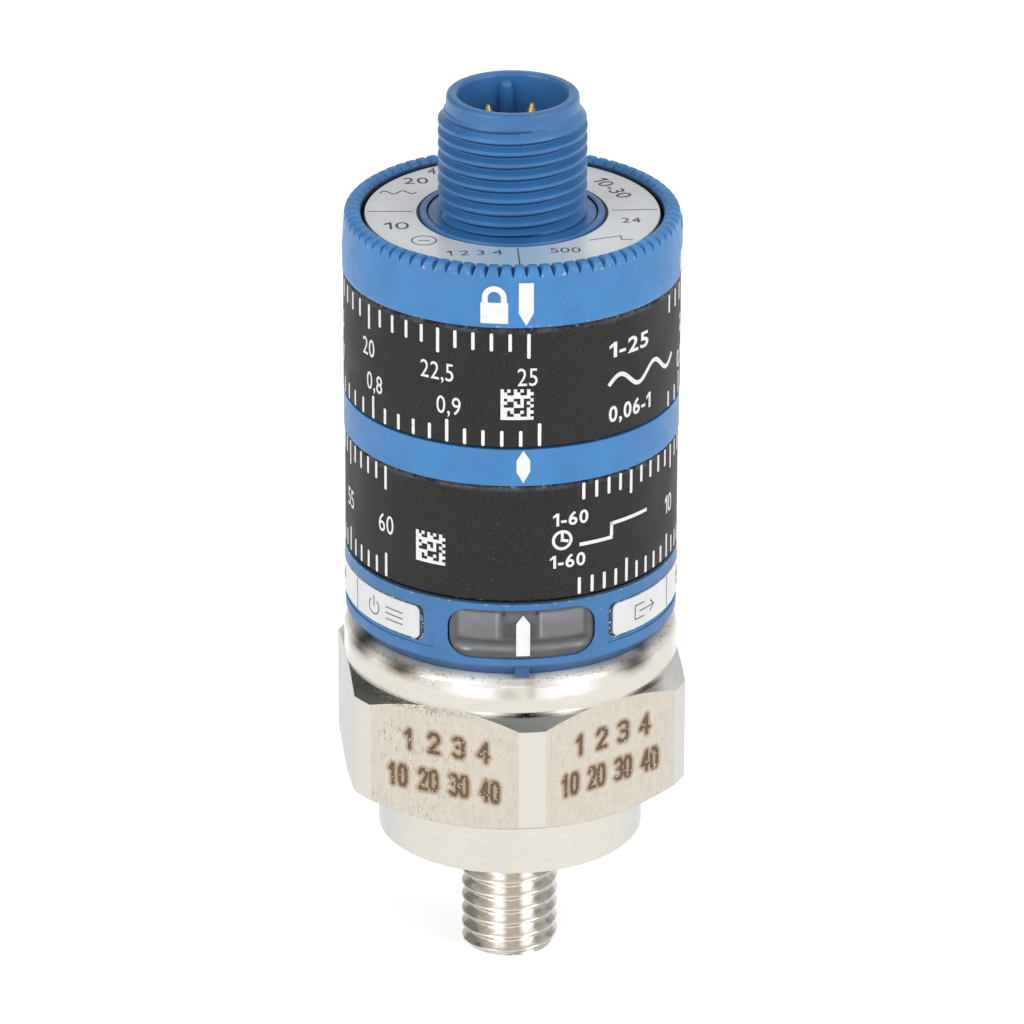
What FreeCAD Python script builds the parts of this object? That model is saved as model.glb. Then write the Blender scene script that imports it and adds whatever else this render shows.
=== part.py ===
import FreeCAD, Part
import math
import os

from FreeCAD import Placement, Rotation, Vector

# Vibration sensor on a stud, with two setting rings, a locking ring and a four-pin plug.
# Sizes are in millimetres. The origin is the middle of the seat face under the collar,
# and Z runs up the axis. The pointer line is at -Y, and angles turn from -Y towards +X.

# Mounting stud, a set screw that is turned into the base
STUD_R = 4.0
STUD_MEAN_R = 3.6
STUD_OUT = 11.1
STUD_IN = 8.9
STUD_CHAMFER = 0.6
STUD_SOCKET_WIDTH = 4.0
STUD_SOCKET_DEPTH = 4.0
STUD_HOLE_SPARE = 0.6
STUD_HOLE_LEAD = 0.6
THREAD_CLEARANCE = 0.05

# Steel base, turned from a hexagon bar
COLLAR_R = 10.8
COLLAR_HEIGHT = 5.3
COLLAR_CHAMFER = 0.1
HEX_WIDTH = 27.0
HEX_HEIGHT = 10.2
HEX_CORNER_R = 15.0
HEX_CHAMFER_ANGLE = 30.0
HEX_TURN = 2.9
NECK_R = 13.57
NECK_HEIGHT = 3.2
NECK_ROUND = 1.1
FLOOR_ABOVE_STUD = 2.0
CAVITY_R = 8.6
CAVITY_DEPTH = 1.6

# Core housing: a tube that carries the rings, a skirt that holds the window, and a spigot
SKIRT_R = 13.45
SKIRT_HEIGHT = 6.6
SKIRT_TAPER_HEIGHT = 1.15
SKIRT_TAPER = 0.95
RING_WALL = 2.45
TUBE_WALL = 2.0
TUBE_STEP = 0.5
SPIGOT_R = 11.0
SPIGOT_LENGTH = 5.6
FIT_CLEARANCE = 0.05
BOSS_ANGLE = 5.0
BOSS_SUNK = 0.25
BOSS_HEIGHT = 1.0
EDGE_BREAK = 0.15

# How far a cutter runs past the face that it cuts
CUT_MARGIN = 1.0

# Window in the skirt, with its two light guides
WINDOW_HALF_WIDTH = 5.9
WINDOW_HEIGHT = 4.25
WINDOW_CORNER_R = 1.7
WINDOW_CENTRE_UP = 3.8
WINDOW_DEPTH = 1.8
WINDOW_SUNK = 0.05
WINDOW_LEDGE = 0.7
GUIDE_R = 0.9
GUIDE_SPACING = 6.0
DIVIDER_WIDTH = 0.8

# Label band round the back of the skirt
BAND_HALF_GAP = 35.2
BAND_TURN = -1.7
BAND_HEIGHT = 2.8
BAND_CENTRE_UP = 3.9
BAND_THICKNESS = 0.15
BAND_CORNER_R = 0.5
BAND_RECESS_DEPTH = 0.1
BAND_RECESS_HEIGHT = 3.4
BAND_RECESS_CENTRE_UP = 3.72
BAND_RECESS_HALF_GAP = 31.5

# Rings round the tube
RING_GAP = 0.1
RUNNING_CLEARANCE = 0.08
DELAY_RING_SUNK = 0.02
DELAY_RING_HEIGHT = 10.0
POINTER_RING_PROUD = 0.05
POINTER_RING_HEIGHT = 3.1
LEVEL_RING_PROUD = 0.07
LEVEL_RING_HEIGHT = 10.2
LOCK_RING_PROUD = 0.15
LOCK_RING_HEIGHT = 5.0
LOCK_FLANGE_HEIGHT = 2.9
LOCK_RIM_WIDTH = 1.5
LOCK_WALL_TAPER = 0.15
LOCK_WALL_TAPER_DOWN = 1.0
LOCK_CROWN_HEIGHT = 0.65
GRIP_COUNT = 78
GRIP_TURN = 0.9
GRIP_HALF_ANGLE = 18.0
GRIP_OUTER_DEPTH = 0.87
GRIP_INNER_DEPTH = 0.5
RING_EDGE = 0.2

# Stops and keys of the rings
DELAY_TRAVEL = 307.0
LEVEL_TRAVEL = 299.0
LOCK_TRAVEL = 90.0
LUG_ANGLE = 6.0
LUG_PLACE = 180.0
LUG_OFF_TUBE = 0.5
LUG_WIDTH = 0.7
LUG_HEIGHT = 0.6
LUG_SIDE_ROOM = 0.3
LUG_END_ROOM = 1.5
LOCK_LUG_REACH = 0.9
KEY_ANGLE = 6.0
KEY_DEPTH = 0.4
KEY_CLEARANCE_ANGLE = 0.4

# Soft rings of square section
FRICTION_WIDTH = 1.4
FRICTION_DEPTH = 0.7
SEAL_WIDTH = 1.2
SEAL_DEPTH = 0.7
SEAL_GAP = 0.03
BASE_SEAL_UP = 2.0
CAP_SEAL_UP = 0.5

# Magnets that tell the board where the rings stand
MAGNET_WIDTH = 3.0
MAGNET_THICKNESS = 1.2
MAGNET_HEIGHT = 3.0
MAGNET_OFF_TUBE = 0.9
MAGNET_PLACE = 90.0

# Top cap and its label
CAP_GAP = 0.25
CAP_HEIGHT = 1.3
CAP_SPIGOT_HEIGHT = 2.9
CAP_SEAT_DEPTH = 2.3
CAP_LABEL_EDGE = 0.07
CAP_LABEL_GAP = 0.26
CAP_LABEL_THICKNESS = 0.2

# Plug connector with an M12 thread and a key rib
PLUG_TURN = 3.0
PLUG_THREAD_R = 6.0
PLUG_THREAD_HEIGHT = 8.9
PLUG_THREAD_CHAMFER = 0.5
PLUG_RIM_R = 5.3
PLUG_RIM_HEIGHT = 1.2
PLUG_RIM_EDGE = 0.15
PLUG_BORE_R = 4.4
PLUG_FLANGE_R = 7.41
PLUG_FLANGE_PROUD = 0.15
PLUG_RECESS_R = 6.84
PLUG_RECESS_DEPTH = 0.1
PLUG_FLOOR_UP = 1.0
PLUG_BASE_R = 6.2
PLUG_BASE_HEIGHT = 2.6
CARRIER_FOOT_WIDTH = 0.8
CARRIER_FOOT_HEIGHT = 1.2
KEY_RIB_R = 0.62
KEY_RIB_REACH = 4.25
KEY_RIB_BELOW_RIM = 0.5

# Contact pins
PIN_COUNT = 4
PIN_R = 0.5
PIN_CIRCLE_R = 2.5
PIN_BELOW_RIM = 1.65
PIN_TIP_HEIGHT = 0.9
PIN_TIP_R = 0.15
PIN_TAIL = 0.5
PIN_HOLE_CLEARANCE = 0.02

# Circuit boards and what sits on them
BOARD_THICKNESS = 1.0
MAIN_BOARD_HALF_WIDTH = 7.0
SENSE_BOARD_GAP = 0.6
PIN_BOARD_R = 6.0
ACCELEROMETER = (3.0, 3.0, 1.0)
ACCELEROMETER_GAP = 0.3
CONTROLLER = (7.0, 1.0, 7.0)
CONTROLLER_UP = 18.0
LED = (1.6, 0.8, 1.6)
HALL = (1.6, 1.0, 3.0)
HALL_X = 5.5
SCREW_R = 1.0
SCREW_LENGTH = 3.2
SCREW_HEAD_R = 1.7
SCREW_HEAD_HEIGHT = 1.2
SCREW_PLACE_R = 6.0

# Heights worked out from the stack
HEX_BOTTOM = COLLAR_HEIGHT
HEX_TOP = HEX_BOTTOM + HEX_HEIGHT
BASE_TOP = HEX_TOP + NECK_HEIGHT
CAVITY_FLOOR = STUD_IN + STUD_HOLE_SPARE + FLOOR_ABOVE_STUD
CAVITY_TOP = CAVITY_FLOOR + CAVITY_DEPTH
TUBE_FOOT = BASE_TOP - SPIGOT_LENGTH
SKIRT_TOP = BASE_TOP + SKIRT_HEIGHT
DELAY_BOTTOM = SKIRT_TOP + RING_GAP
DELAY_TOP = DELAY_BOTTOM + DELAY_RING_HEIGHT
POINTER_BOTTOM = DELAY_TOP + RING_GAP
POINTER_TOP = POINTER_BOTTOM + POINTER_RING_HEIGHT
LEVEL_BOTTOM = POINTER_TOP + RING_GAP
LEVEL_TOP = LEVEL_BOTTOM + LEVEL_RING_HEIGHT
LOCK_BOTTOM = LEVEL_TOP + RING_GAP
LOCK_TOP = LOCK_BOTTOM + LOCK_RING_HEIGHT
LOCK_FLANGE_TOP = LOCK_BOTTOM + LOCK_FLANGE_HEIGHT
TUBE_TOP = LOCK_FLANGE_TOP + RING_GAP
CAP_TOP = TUBE_TOP + CAP_HEIGHT
CAP_SEAT = CAP_TOP - CAP_SEAT_DEPTH
CAP_FOOT = TUBE_TOP - CAP_SPIGOT_HEIGHT
LABEL_TOP = CAP_TOP + CAP_LABEL_THICKNESS
FLANGE_TOP = LABEL_TOP + PLUG_FLANGE_PROUD
THREAD_FOOT = FLANGE_TOP - PLUG_RECESS_DEPTH
THREAD_TOP = THREAD_FOOT + PLUG_THREAD_HEIGHT
RIM_TOP = THREAD_TOP + PLUG_RIM_HEIGHT
PLUG_FLOOR = THREAD_FOOT + PLUG_FLOOR_UP
PLUG_FOOT = CAP_SEAT - PLUG_BASE_HEIGHT
PIN_BOARD_TOP = PLUG_FOOT
PIN_BOARD_BOTTOM = PIN_BOARD_TOP - BOARD_THICKNESS
SENSE_BOARD_TOP = CAVITY_FLOOR + BOARD_THICKNESS
WINDOW_Z = BASE_TOP + WINDOW_CENTRE_UP
BAND_Z = BASE_TOP + BAND_CENTRE_UP
BAND_RECESS_Z = BASE_TOP + BAND_RECESS_CENTRE_UP

# Radii worked out from the fits
SKIRT_FOOT_R = SKIRT_R - SKIRT_TAPER
BOSS_R = SKIRT_R - BOSS_SUNK
TUBE_R = SKIRT_R - RING_WALL
TUBE_BORE_R = TUBE_R - TUBE_WALL
UPPER_TUBE_R = TUBE_R - TUBE_STEP
DELAY_RING_R = SKIRT_R - DELAY_RING_SUNK
POINTER_RING_R = SKIRT_R + POINTER_RING_PROUD
LEVEL_RING_R = SKIRT_R + LEVEL_RING_PROUD
LOCK_RING_R = SKIRT_R + LOCK_RING_PROUD
LOCK_MOUTH_R = LOCK_RING_R - LOCK_RIM_WIDTH
LUG_R_IN = TUBE_R + LUG_OFF_TUBE
LUG_R_OUT = LUG_R_IN + LUG_WIDTH
LOCK_LUG_R_OUT = UPPER_TUBE_R + LOCK_LUG_REACH
MAGNET_R = TUBE_R + MAGNET_OFF_TUBE
CAP_R = LOCK_MOUTH_R - CAP_GAP
CAP_LABEL_R = CAP_R - CAP_LABEL_EDGE
CAP_LABEL_BORE_R = PLUG_FLANGE_R + CAP_LABEL_GAP
CAP_BORE_R = PLUG_BASE_R + FIT_CLEARANCE
CARRIER_R = PLUG_BORE_R - FIT_CLEARANCE
CARRIER_FOOT_R = CARRIER_R + CARRIER_FOOT_WIDTH
SENSE_BOARD_R = CAVITY_R - SENSE_BOARD_GAP
DELAY_BORE_R = TUBE_R + RUNNING_CLEARANCE
UPPER_BORE_R = UPPER_TUBE_R + RUNNING_CLEARANCE
GUIDE_FRONT = SKIRT_R - WINDOW_DEPTH
BOARD_FACE = BOARD_THICKNESS / 2


def spot(radius, angle, z=0.0):
    """A point at an angle from -Y towards +X."""
    turn = math.radians(angle)
    return Vector(radius * math.sin(turn), -radius * math.cos(turn), z)


def flat_face(corners):
    return Part.Face(Part.makePolygon(corners + corners[:1]))


def turned(outline, sweep=360.0, start=0.0):
    """A solid turned about Z from (radius, height) corners."""
    corners = [spot(radius, start, z) for radius, z in outline]
    return flat_face(corners).revolve(Vector(0, 0, 0), Vector(0, 0, 1), sweep)


def tube(inner_r, outer_r, bottom, top):
    return turned([(inner_r, bottom), (outer_r, bottom), (outer_r, top), (inner_r, top)])


def sector(inner_r, outer_r, bottom, top, first, last):
    """A piece of a tube between two angles."""
    outline = [(inner_r, bottom), (outer_r, bottom), (outer_r, top), (inner_r, top)]
    return turned(outline, last - first, first)


def rod(radius, bottom, top, x=0.0, y=0.0):
    return Part.makeCylinder(radius, top - bottom, Vector(x, y, bottom))


def block(size, centre_x, centre_y, bottom):
    """A box that stands on a height, centred in X and Y."""
    corner = Vector(centre_x - size[0] / 2, centre_y - size[1] / 2, bottom)
    return Part.makeBox(*size, corner)


def hexagon_bar(width, bottom, top, corner_angle):
    corner_r = width / math.sqrt(3)
    corners = [spot(corner_r, corner_angle + 60 * side, bottom) for side in range(6)]
    return flat_face(corners).extrude(Vector(0, 0, top - bottom))


def rounded_slot(half_width, height, corner_r, centre_z, front, back):
    """A bar of rounded rectangular section that runs along Y."""
    bar = Part.makeBox(2 * half_width, back - front, height,
                       Vector(-half_width, front, centre_z - height / 2))
    long_edges = [edge for edge in bar.Edges if abs(edge.tangentAt(0).y) > 0.9]
    return bar.makeFillet(corner_r, long_edges)


def save(name, shape):
    shape.exportStep("parts/" + name + ".step")


def mounting_stud():
    """The thread at its outer radius where it stands free, at its mean radius in the base."""
    body = turned([
        (0, -STUD_OUT),
        (STUD_R - STUD_CHAMFER, -STUD_OUT),
        (STUD_R, -STUD_OUT + STUD_CHAMFER),
        (STUD_R, 0),
        (STUD_MEAN_R, 0),
        (STUD_MEAN_R, STUD_IN - STUD_CHAMFER),
        (STUD_MEAN_R - STUD_CHAMFER, STUD_IN),
        (0, STUD_IN),
    ])
    socket = hexagon_bar(STUD_SOCKET_WIDTH, -STUD_OUT, -STUD_OUT + STUD_SOCKET_DEPTH, 0)
    return body.cut(socket)


def base_outline():
    """The turned outline of the base, with its rounded shoulder."""
    chamfer = math.tan(math.radians(HEX_CHAMFER_ANGLE)) * (HEX_CORNER_R - HEX_WIDTH / 2)
    corners = [
        (0, 0),
        (COLLAR_R - COLLAR_CHAMFER, 0),
        (COLLAR_R, COLLAR_CHAMFER),
        (COLLAR_R, HEX_BOTTOM),
        (HEX_WIDTH / 2, HEX_BOTTOM),
        (HEX_CORNER_R, HEX_BOTTOM + chamfer),
        (HEX_CORNER_R, HEX_TOP - chamfer),
        (NECK_R, HEX_TOP),
        (NECK_R, BASE_TOP - NECK_ROUND),
    ]
    points = [Vector(radius, 0, z) for radius, z in corners]
    shoulder_end = Vector(NECK_R - NECK_ROUND, 0, BASE_TOP)
    bulge = NECK_ROUND * (1 - math.sqrt(0.5))
    shoulder_middle = Vector(NECK_R - bulge, 0, BASE_TOP - bulge)
    axis_top = Vector(0, 0, BASE_TOP)
    edges = Part.makePolygon(points).Edges
    edges.append(Part.Arc(points[-1], shoulder_middle, shoulder_end).toShape())
    edges.append(Part.makeLine(shoulder_end, axis_top))
    edges.append(Part.makeLine(axis_top, points[0]))
    return Part.Face(Part.Wire(edges))


def stud_hole():
    """The tapped hole at its mean radius, with a lead-in cone wider than the stud."""
    hole_r = STUD_MEAN_R + THREAD_CLEARANCE
    return turned([
        (0, 0),
        (hole_r + STUD_HOLE_LEAD, 0),
        (hole_r, STUD_HOLE_LEAD),
        (hole_r, STUD_IN + STUD_HOLE_SPARE),
        (0, STUD_IN + STUD_HOLE_SPARE),
    ])


def sensor_base():
    """Collar, hexagon and neck in one piece, bored from both ends."""
    bar = hexagon_bar(HEX_WIDTH, 0, BASE_TOP, HEX_TURN)
    body = base_outline().revolve(Vector(0, 0, 0), Vector(0, 0, 1), 360).common(bar)
    cavity = rod(CAVITY_R, CAVITY_FLOOR, BASE_TOP)
    socket = rod(SPIGOT_R + FIT_CLEARANCE, CAVITY_TOP, BASE_TOP)
    body = body.cut([stud_hole(), cavity, socket])
    for side in (-1, 1):
        body = body.cut(screw_hole(side, SENSE_BOARD_TOP - SCREW_LENGTH))
    return body


def square_groove(outer_r, depth, width, centre_z):
    return tube(outer_r - depth, outer_r + CUT_MARGIN, centre_z - width / 2, centre_z + width / 2)


def soft_ring(groove_outer_r, wall_r, depth, width, centre_z):
    """A square ring that fills its groove and stops just short of the wall it rubs on."""
    half = width / 2 - SEAL_GAP
    return tube(groove_outer_r - depth + SEAL_GAP, wall_r - SEAL_GAP, centre_z - half, centre_z + half)


def base_seal_z():
    return TUBE_FOOT + BASE_SEAL_UP


def delay_middle():
    return (DELAY_BOTTOM + DELAY_TOP) / 2


def level_middle():
    return (LEVEL_BOTTOM + LEVEL_TOP) / 2


def base_seal():
    return soft_ring(SPIGOT_R, SPIGOT_R + FIT_CLEARANCE, SEAL_DEPTH, SEAL_WIDTH, base_seal_z())


def delay_friction_ring():
    return soft_ring(TUBE_R, DELAY_BORE_R, FRICTION_DEPTH, FRICTION_WIDTH, delay_middle())


def level_friction_ring():
    return soft_ring(UPPER_TUBE_R, UPPER_BORE_R, FRICTION_DEPTH, FRICTION_WIDTH, level_middle())


def window_cut():
    """The stepped opening that the window sits in."""
    outer = rounded_slot(WINDOW_HALF_WIDTH, WINDOW_HEIGHT, WINDOW_CORNER_R,
                         WINDOW_Z, -SKIRT_R - CUT_MARGIN, -CAVITY_R / 2)
    outer = outer.cut(rod(GUIDE_FRONT, BASE_TOP, SKIRT_TOP))
    inner = rounded_slot(WINDOW_HALF_WIDTH - WINDOW_LEDGE, WINDOW_HEIGHT - 2 * WINDOW_LEDGE,
                         WINDOW_CORNER_R - WINDOW_LEDGE, WINDOW_Z, -SKIRT_R, -CAVITY_R / 2)
    return outer.fuse(inner)


def core_housing():
    """Spigot, skirt, tube, boss and key in one moulding."""
    shell = turned([
        (CAVITY_R, TUBE_FOOT),
        (SPIGOT_R, TUBE_FOOT),
        (SPIGOT_R, BASE_TOP),
        (SKIRT_FOOT_R, BASE_TOP),
        (SKIRT_R, BASE_TOP + SKIRT_TAPER_HEIGHT),
        (SKIRT_R, SKIRT_TOP - EDGE_BREAK),
        (SKIRT_R - EDGE_BREAK, SKIRT_TOP),
        (TUBE_R, SKIRT_TOP),
        (TUBE_R, POINTER_BOTTOM),
        (UPPER_TUBE_R, POINTER_BOTTOM),
        (UPPER_TUBE_R, TUBE_TOP),
        (TUBE_BORE_R, TUBE_TOP),
        (TUBE_BORE_R, BASE_TOP),
        (CAVITY_R, BASE_TOP),
    ])
    boss = sector(SPIGOT_R, BOSS_R, BASE_TOP, BASE_TOP + BOSS_HEIGHT, -BOSS_ANGLE / 2, BOSS_ANGLE / 2)
    key = sector(UPPER_TUBE_R - KEY_DEPTH, UPPER_TUBE_R + KEY_DEPTH, POINTER_BOTTOM, POINTER_TOP,
                 LUG_PLACE - KEY_ANGLE / 2, LUG_PLACE + KEY_ANGLE / 2)
    recess = sector(SKIRT_R - BAND_RECESS_DEPTH, SKIRT_R + CUT_MARGIN,
                    BAND_RECESS_Z - BAND_RECESS_HEIGHT / 2, BAND_RECESS_Z + BAND_RECESS_HEIGHT / 2,
                    BAND_RECESS_HALF_GAP, 360 - BAND_RECESS_HALF_GAP)
    grooves = [
        square_groove(SPIGOT_R, SEAL_DEPTH, SEAL_WIDTH, base_seal_z()),
        square_groove(UPPER_TUBE_R, FRICTION_DEPTH, FRICTION_WIDTH, level_middle()),
    ]
    delay_groove = square_groove(TUBE_R, FRICTION_DEPTH, FRICTION_WIDTH, delay_middle())
    return shell.fuse([boss, key]).cut(grooves + [delay_groove, recess, window_cut()])


def indicator_window():
    """The window and its two light guides in one clear moulding."""
    pane = rounded_slot(WINDOW_HALF_WIDTH - FIT_CLEARANCE, WINDOW_HEIGHT - 2 * FIT_CLEARANCE,
                        WINDOW_CORNER_R - FIT_CLEARANCE, WINDOW_Z, -SKIRT_R - CUT_MARGIN, -CAVITY_R / 2)
    pane = pane.common(tube(GUIDE_FRONT + FIT_CLEARANCE, SKIRT_R - WINDOW_SUNK, BASE_TOP, SKIRT_TOP))
    led_face = BOARD_FACE + LED[1] + FIT_CLEARANCE
    guides = []
    for side in (-1, 1):
        start = Vector(side * GUIDE_SPACING / 2, -led_face, WINDOW_Z)
        guides.append(Part.makeCylinder(GUIDE_R, GUIDE_FRONT - led_face, start, Vector(0, -1, 0)))
    return pane.fuse(guides)


def light_divider():
    """The wall between the two light guides."""
    height = WINDOW_HEIGHT - 2 * WINDOW_LEDGE - 2 * FIT_CLEARANCE
    wall = Part.makeBox(DIVIDER_WIDTH, GUIDE_FRONT - BOARD_FACE, height,
                        Vector(-DIVIDER_WIDTH / 2, -GUIDE_FRONT, WINDOW_Z - height / 2))
    return wall.common(rod(GUIDE_FRONT, BASE_TOP, SKIRT_TOP))


def indicator_label():
    """A label band that runs round the back, with rounded ends."""
    inner_r = SKIRT_R - BAND_RECESS_DEPTH
    band = sector(inner_r, inner_r + BAND_THICKNESS, BAND_Z - BAND_HEIGHT / 2, BAND_Z + BAND_HEIGHT / 2,
                  BAND_TURN + BAND_HALF_GAP, BAND_TURN + 360 - BAND_HALF_GAP)
    corners = [edge for edge in band.Edges if edge.Length < 2 * BAND_THICKNESS]
    return band.makeFillet(BAND_CORNER_R, corners)


def magnet_block(bottom, room):
    """A magnet, or with some room round it the pocket that it sits in."""
    size = (MAGNET_WIDTH + room, MAGNET_THICKNESS + room, MAGNET_HEIGHT + room)
    bar = block(size, 0, -MAGNET_R, bottom)
    bar.Placement = Placement(Vector(0, 0, 0), Rotation(Vector(0, 0, 1), MAGNET_PLACE))
    return bar


def magnet(bottom):
    return magnet_block(bottom, 0)


def magnet_pocket(bottom):
    return magnet_block(bottom, 2 * FIT_CLEARANCE)


def stop_lug(bottom, top, inner_r=LUG_R_IN, outer_r=LUG_R_OUT):
    return sector(inner_r, outer_r, bottom, top, LUG_PLACE - LUG_ANGLE / 2, LUG_PLACE + LUG_ANGLE / 2)


def stop_groove(bottom, top, travel_back, travel_on, inner_r, outer_r):
    """The groove that a fixed lug meets as its ring turns."""
    end = LUG_ANGLE / 2 + LUG_END_ROOM
    return sector(inner_r, outer_r, bottom, top, LUG_PLACE - travel_back - end, LUG_PLACE + travel_on + end)


def setting_ring(outer_r, bore_r, bottom, top):
    return turned([
        (bore_r, bottom),
        (outer_r - RING_EDGE, bottom),
        (outer_r, bottom + RING_EDGE),
        (outer_r, top - RING_EDGE),
        (outer_r - RING_EDGE, top),
        (bore_r, top),
    ])


def delay_ring():
    ring = setting_ring(DELAY_RING_R, DELAY_BORE_R, DELAY_BOTTOM, DELAY_TOP)
    groove_depth = LUG_HEIGHT + LUG_SIDE_ROOM
    groove = stop_groove(DELAY_TOP - groove_depth, DELAY_TOP, 0, DELAY_TRAVEL,
                         LUG_R_IN - LUG_SIDE_ROOM, LUG_R_OUT + LUG_SIDE_ROOM)
    return ring.cut([groove, magnet_pocket(DELAY_BOTTOM)])


def delay_magnet():
    return magnet(DELAY_BOTTOM + FIT_CLEARANCE)


def pointer_ring():
    """The fixed ring between the setting rings, keyed to the tube and carrying their stops."""
    ring = tube(UPPER_TUBE_R + FIT_CLEARANCE, POINTER_RING_R, POINTER_BOTTOM, POINTER_TOP)
    half_key = KEY_ANGLE / 2 + KEY_CLEARANCE_ANGLE
    keyway = sector(UPPER_TUBE_R - KEY_DEPTH, UPPER_TUBE_R + KEY_DEPTH + FIT_CLEARANCE,
                    POINTER_BOTTOM, POINTER_TOP, LUG_PLACE - half_key, LUG_PLACE + half_key)
    lower_lug = stop_lug(POINTER_BOTTOM - RING_GAP - LUG_HEIGHT, POINTER_BOTTOM)
    upper_lug = stop_lug(POINTER_TOP, POINTER_TOP + RING_GAP + LUG_HEIGHT)
    return ring.cut(keyway).fuse([lower_lug, upper_lug])


def level_ring():
    ring = setting_ring(LEVEL_RING_R, UPPER_BORE_R, LEVEL_BOTTOM, LEVEL_TOP)
    groove_depth = LUG_HEIGHT + LUG_SIDE_ROOM
    groove = stop_groove(LEVEL_BOTTOM, LEVEL_BOTTOM + groove_depth, LEVEL_TRAVEL, 0,
                         LUG_R_IN - LUG_SIDE_ROOM, LUG_R_OUT + LUG_SIDE_ROOM)
    return ring.cut([groove, magnet_pocket(LEVEL_TOP - MAGNET_HEIGHT - 2 * FIT_CLEARANCE)])


def level_magnet():
    return magnet(LEVEL_TOP - MAGNET_HEIGHT - FIT_CLEARANCE)


def grip_corners(angle, climb):
    """Inner and outer corner of the grip cutter's underside on one radial line."""
    outer_r = LOCK_RING_R - LOCK_WALL_TAPER
    fall = (GRIP_OUTER_DEPTH - GRIP_INNER_DEPTH) / (outer_r - LOCK_MOUTH_R)
    radii = (LOCK_MOUTH_R - CUT_MARGIN, LOCK_RING_R + CUT_MARGIN)
    return [spot(radius, angle, LOCK_TOP - GRIP_OUTER_DEPTH + fall * (outer_r - radius) + climb * radius)
            for radius in radii]


def grip_cutter():
    """A crown whose zigzag underside cuts the V-shaped finger grips into the locking ring."""
    half_pitch = 180 / GRIP_COUNT
    rise = math.sin(math.radians(half_pitch)) / math.tan(math.radians(GRIP_HALF_ANGLE))
    roof = LOCK_TOP + rise * (LOCK_RING_R + CUT_MARGIN)
    lines = []
    for step in range(2 * GRIP_COUNT + 1):
        lines.append(grip_corners(GRIP_TURN + half_pitch * step, rise * (step % 2)))
    faces = []
    rims = [[], []]
    for (inner_a, outer_a), (inner_b, outer_b) in zip(lines, lines[1:]):
        faces.append(flat_face([inner_a, outer_a, outer_b, inner_b]))
        for rim, low_a, low_b in ((rims[0], inner_a, inner_b), (rims[1], outer_a, outer_b)):
            high_a, high_b = Vector(low_a.x, low_a.y, roof), Vector(low_b.x, low_b.y, roof)
            faces.append(flat_face([low_a, low_b, high_b, high_a]))
            rim.append(high_a)
    inner_rim, outer_rim = [Part.makePolygon(rim + rim[:1]) for rim in rims]
    faces.append(Part.Face(outer_rim).cut(Part.Face(inner_rim)).Faces[0])
    return Part.makeSolid(Part.makeShell(faces))


def lock_crown():
    """The corners of the locking ring's crowned top, from outside to inside."""
    outer_r = LOCK_RING_R - LOCK_WALL_TAPER
    middle, half = (outer_r + LOCK_MOUTH_R) / 2, (outer_r - LOCK_MOUTH_R) / 2
    shape = ((1.0, 0.0), (0.78, 0.62), (0.35, 1.0), (-0.35, 1.0), (-0.78, 0.62), (-1.0, 0.0))
    return [(middle + across * half, LOCK_TOP - LOCK_CROWN_HEIGHT * (1 - up)) for across, up in shape]


def lock_ring():
    """The locking ring, with a flange under the cap and grips cut across its crowned top."""
    ring = turned([
        (UPPER_BORE_R, LOCK_BOTTOM),
        (LOCK_RING_R - RING_EDGE, LOCK_BOTTOM),
        (LOCK_RING_R, LOCK_BOTTOM + RING_EDGE),
        (LOCK_RING_R, LOCK_FLANGE_TOP - LOCK_WALL_TAPER_DOWN),
        *lock_crown(),
        (LOCK_MOUTH_R, LOCK_FLANGE_TOP),
        (UPPER_BORE_R, LOCK_FLANGE_TOP),
    ])
    groove_depth = LUG_HEIGHT + LUG_SIDE_ROOM
    groove = stop_groove(LOCK_FLANGE_TOP - groove_depth, LOCK_FLANGE_TOP, 0, LOCK_TRAVEL,
                         UPPER_TUBE_R, LOCK_LUG_R_OUT + LUG_SIDE_ROOM)
    return ring.cut([groove, grip_cutter()])


def cap_seal_z():
    return CAP_FOOT + CAP_SEAL_UP + SEAL_WIDTH / 2


def top_cap():
    """The cap that holds the rings on the tube and carries the plug connector."""
    cap = turned([
        (CAP_BORE_R, CAP_FOOT),
        (TUBE_BORE_R - FIT_CLEARANCE, CAP_FOOT),
        (TUBE_BORE_R - FIT_CLEARANCE, TUBE_TOP),
        (CAP_R, TUBE_TOP),
        (CAP_R, CAP_TOP),
        (PLUG_FLANGE_R + FIT_CLEARANCE, CAP_TOP),
        (PLUG_FLANGE_R + FIT_CLEARANCE, CAP_SEAT),
        (CAP_BORE_R, CAP_SEAT),
    ])
    groove = square_groove(TUBE_BORE_R - FIT_CLEARANCE, SEAL_DEPTH, SEAL_WIDTH, cap_seal_z())
    lug = stop_lug(LOCK_FLANGE_TOP - LUG_HEIGHT, TUBE_TOP, UPPER_TUBE_R + LUG_SIDE_ROOM, LOCK_LUG_R_OUT)
    return cap.cut(groove).fuse(lug)


def cap_seal():
    spigot_r = TUBE_BORE_R - FIT_CLEARANCE
    return soft_ring(spigot_r, TUBE_BORE_R, SEAL_DEPTH, SEAL_WIDTH, cap_seal_z())


def top_label():
    return tube(CAP_LABEL_BORE_R, CAP_LABEL_R, CAP_TOP, LABEL_TOP)


def pin_spots():
    """The centres of the contact pins, on their circle."""
    step = 360 / PIN_COUNT
    return [spot(PIN_CIRCLE_R, PLUG_TURN + step * (number + 0.5)) for number in range(PIN_COUNT)]


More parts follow.
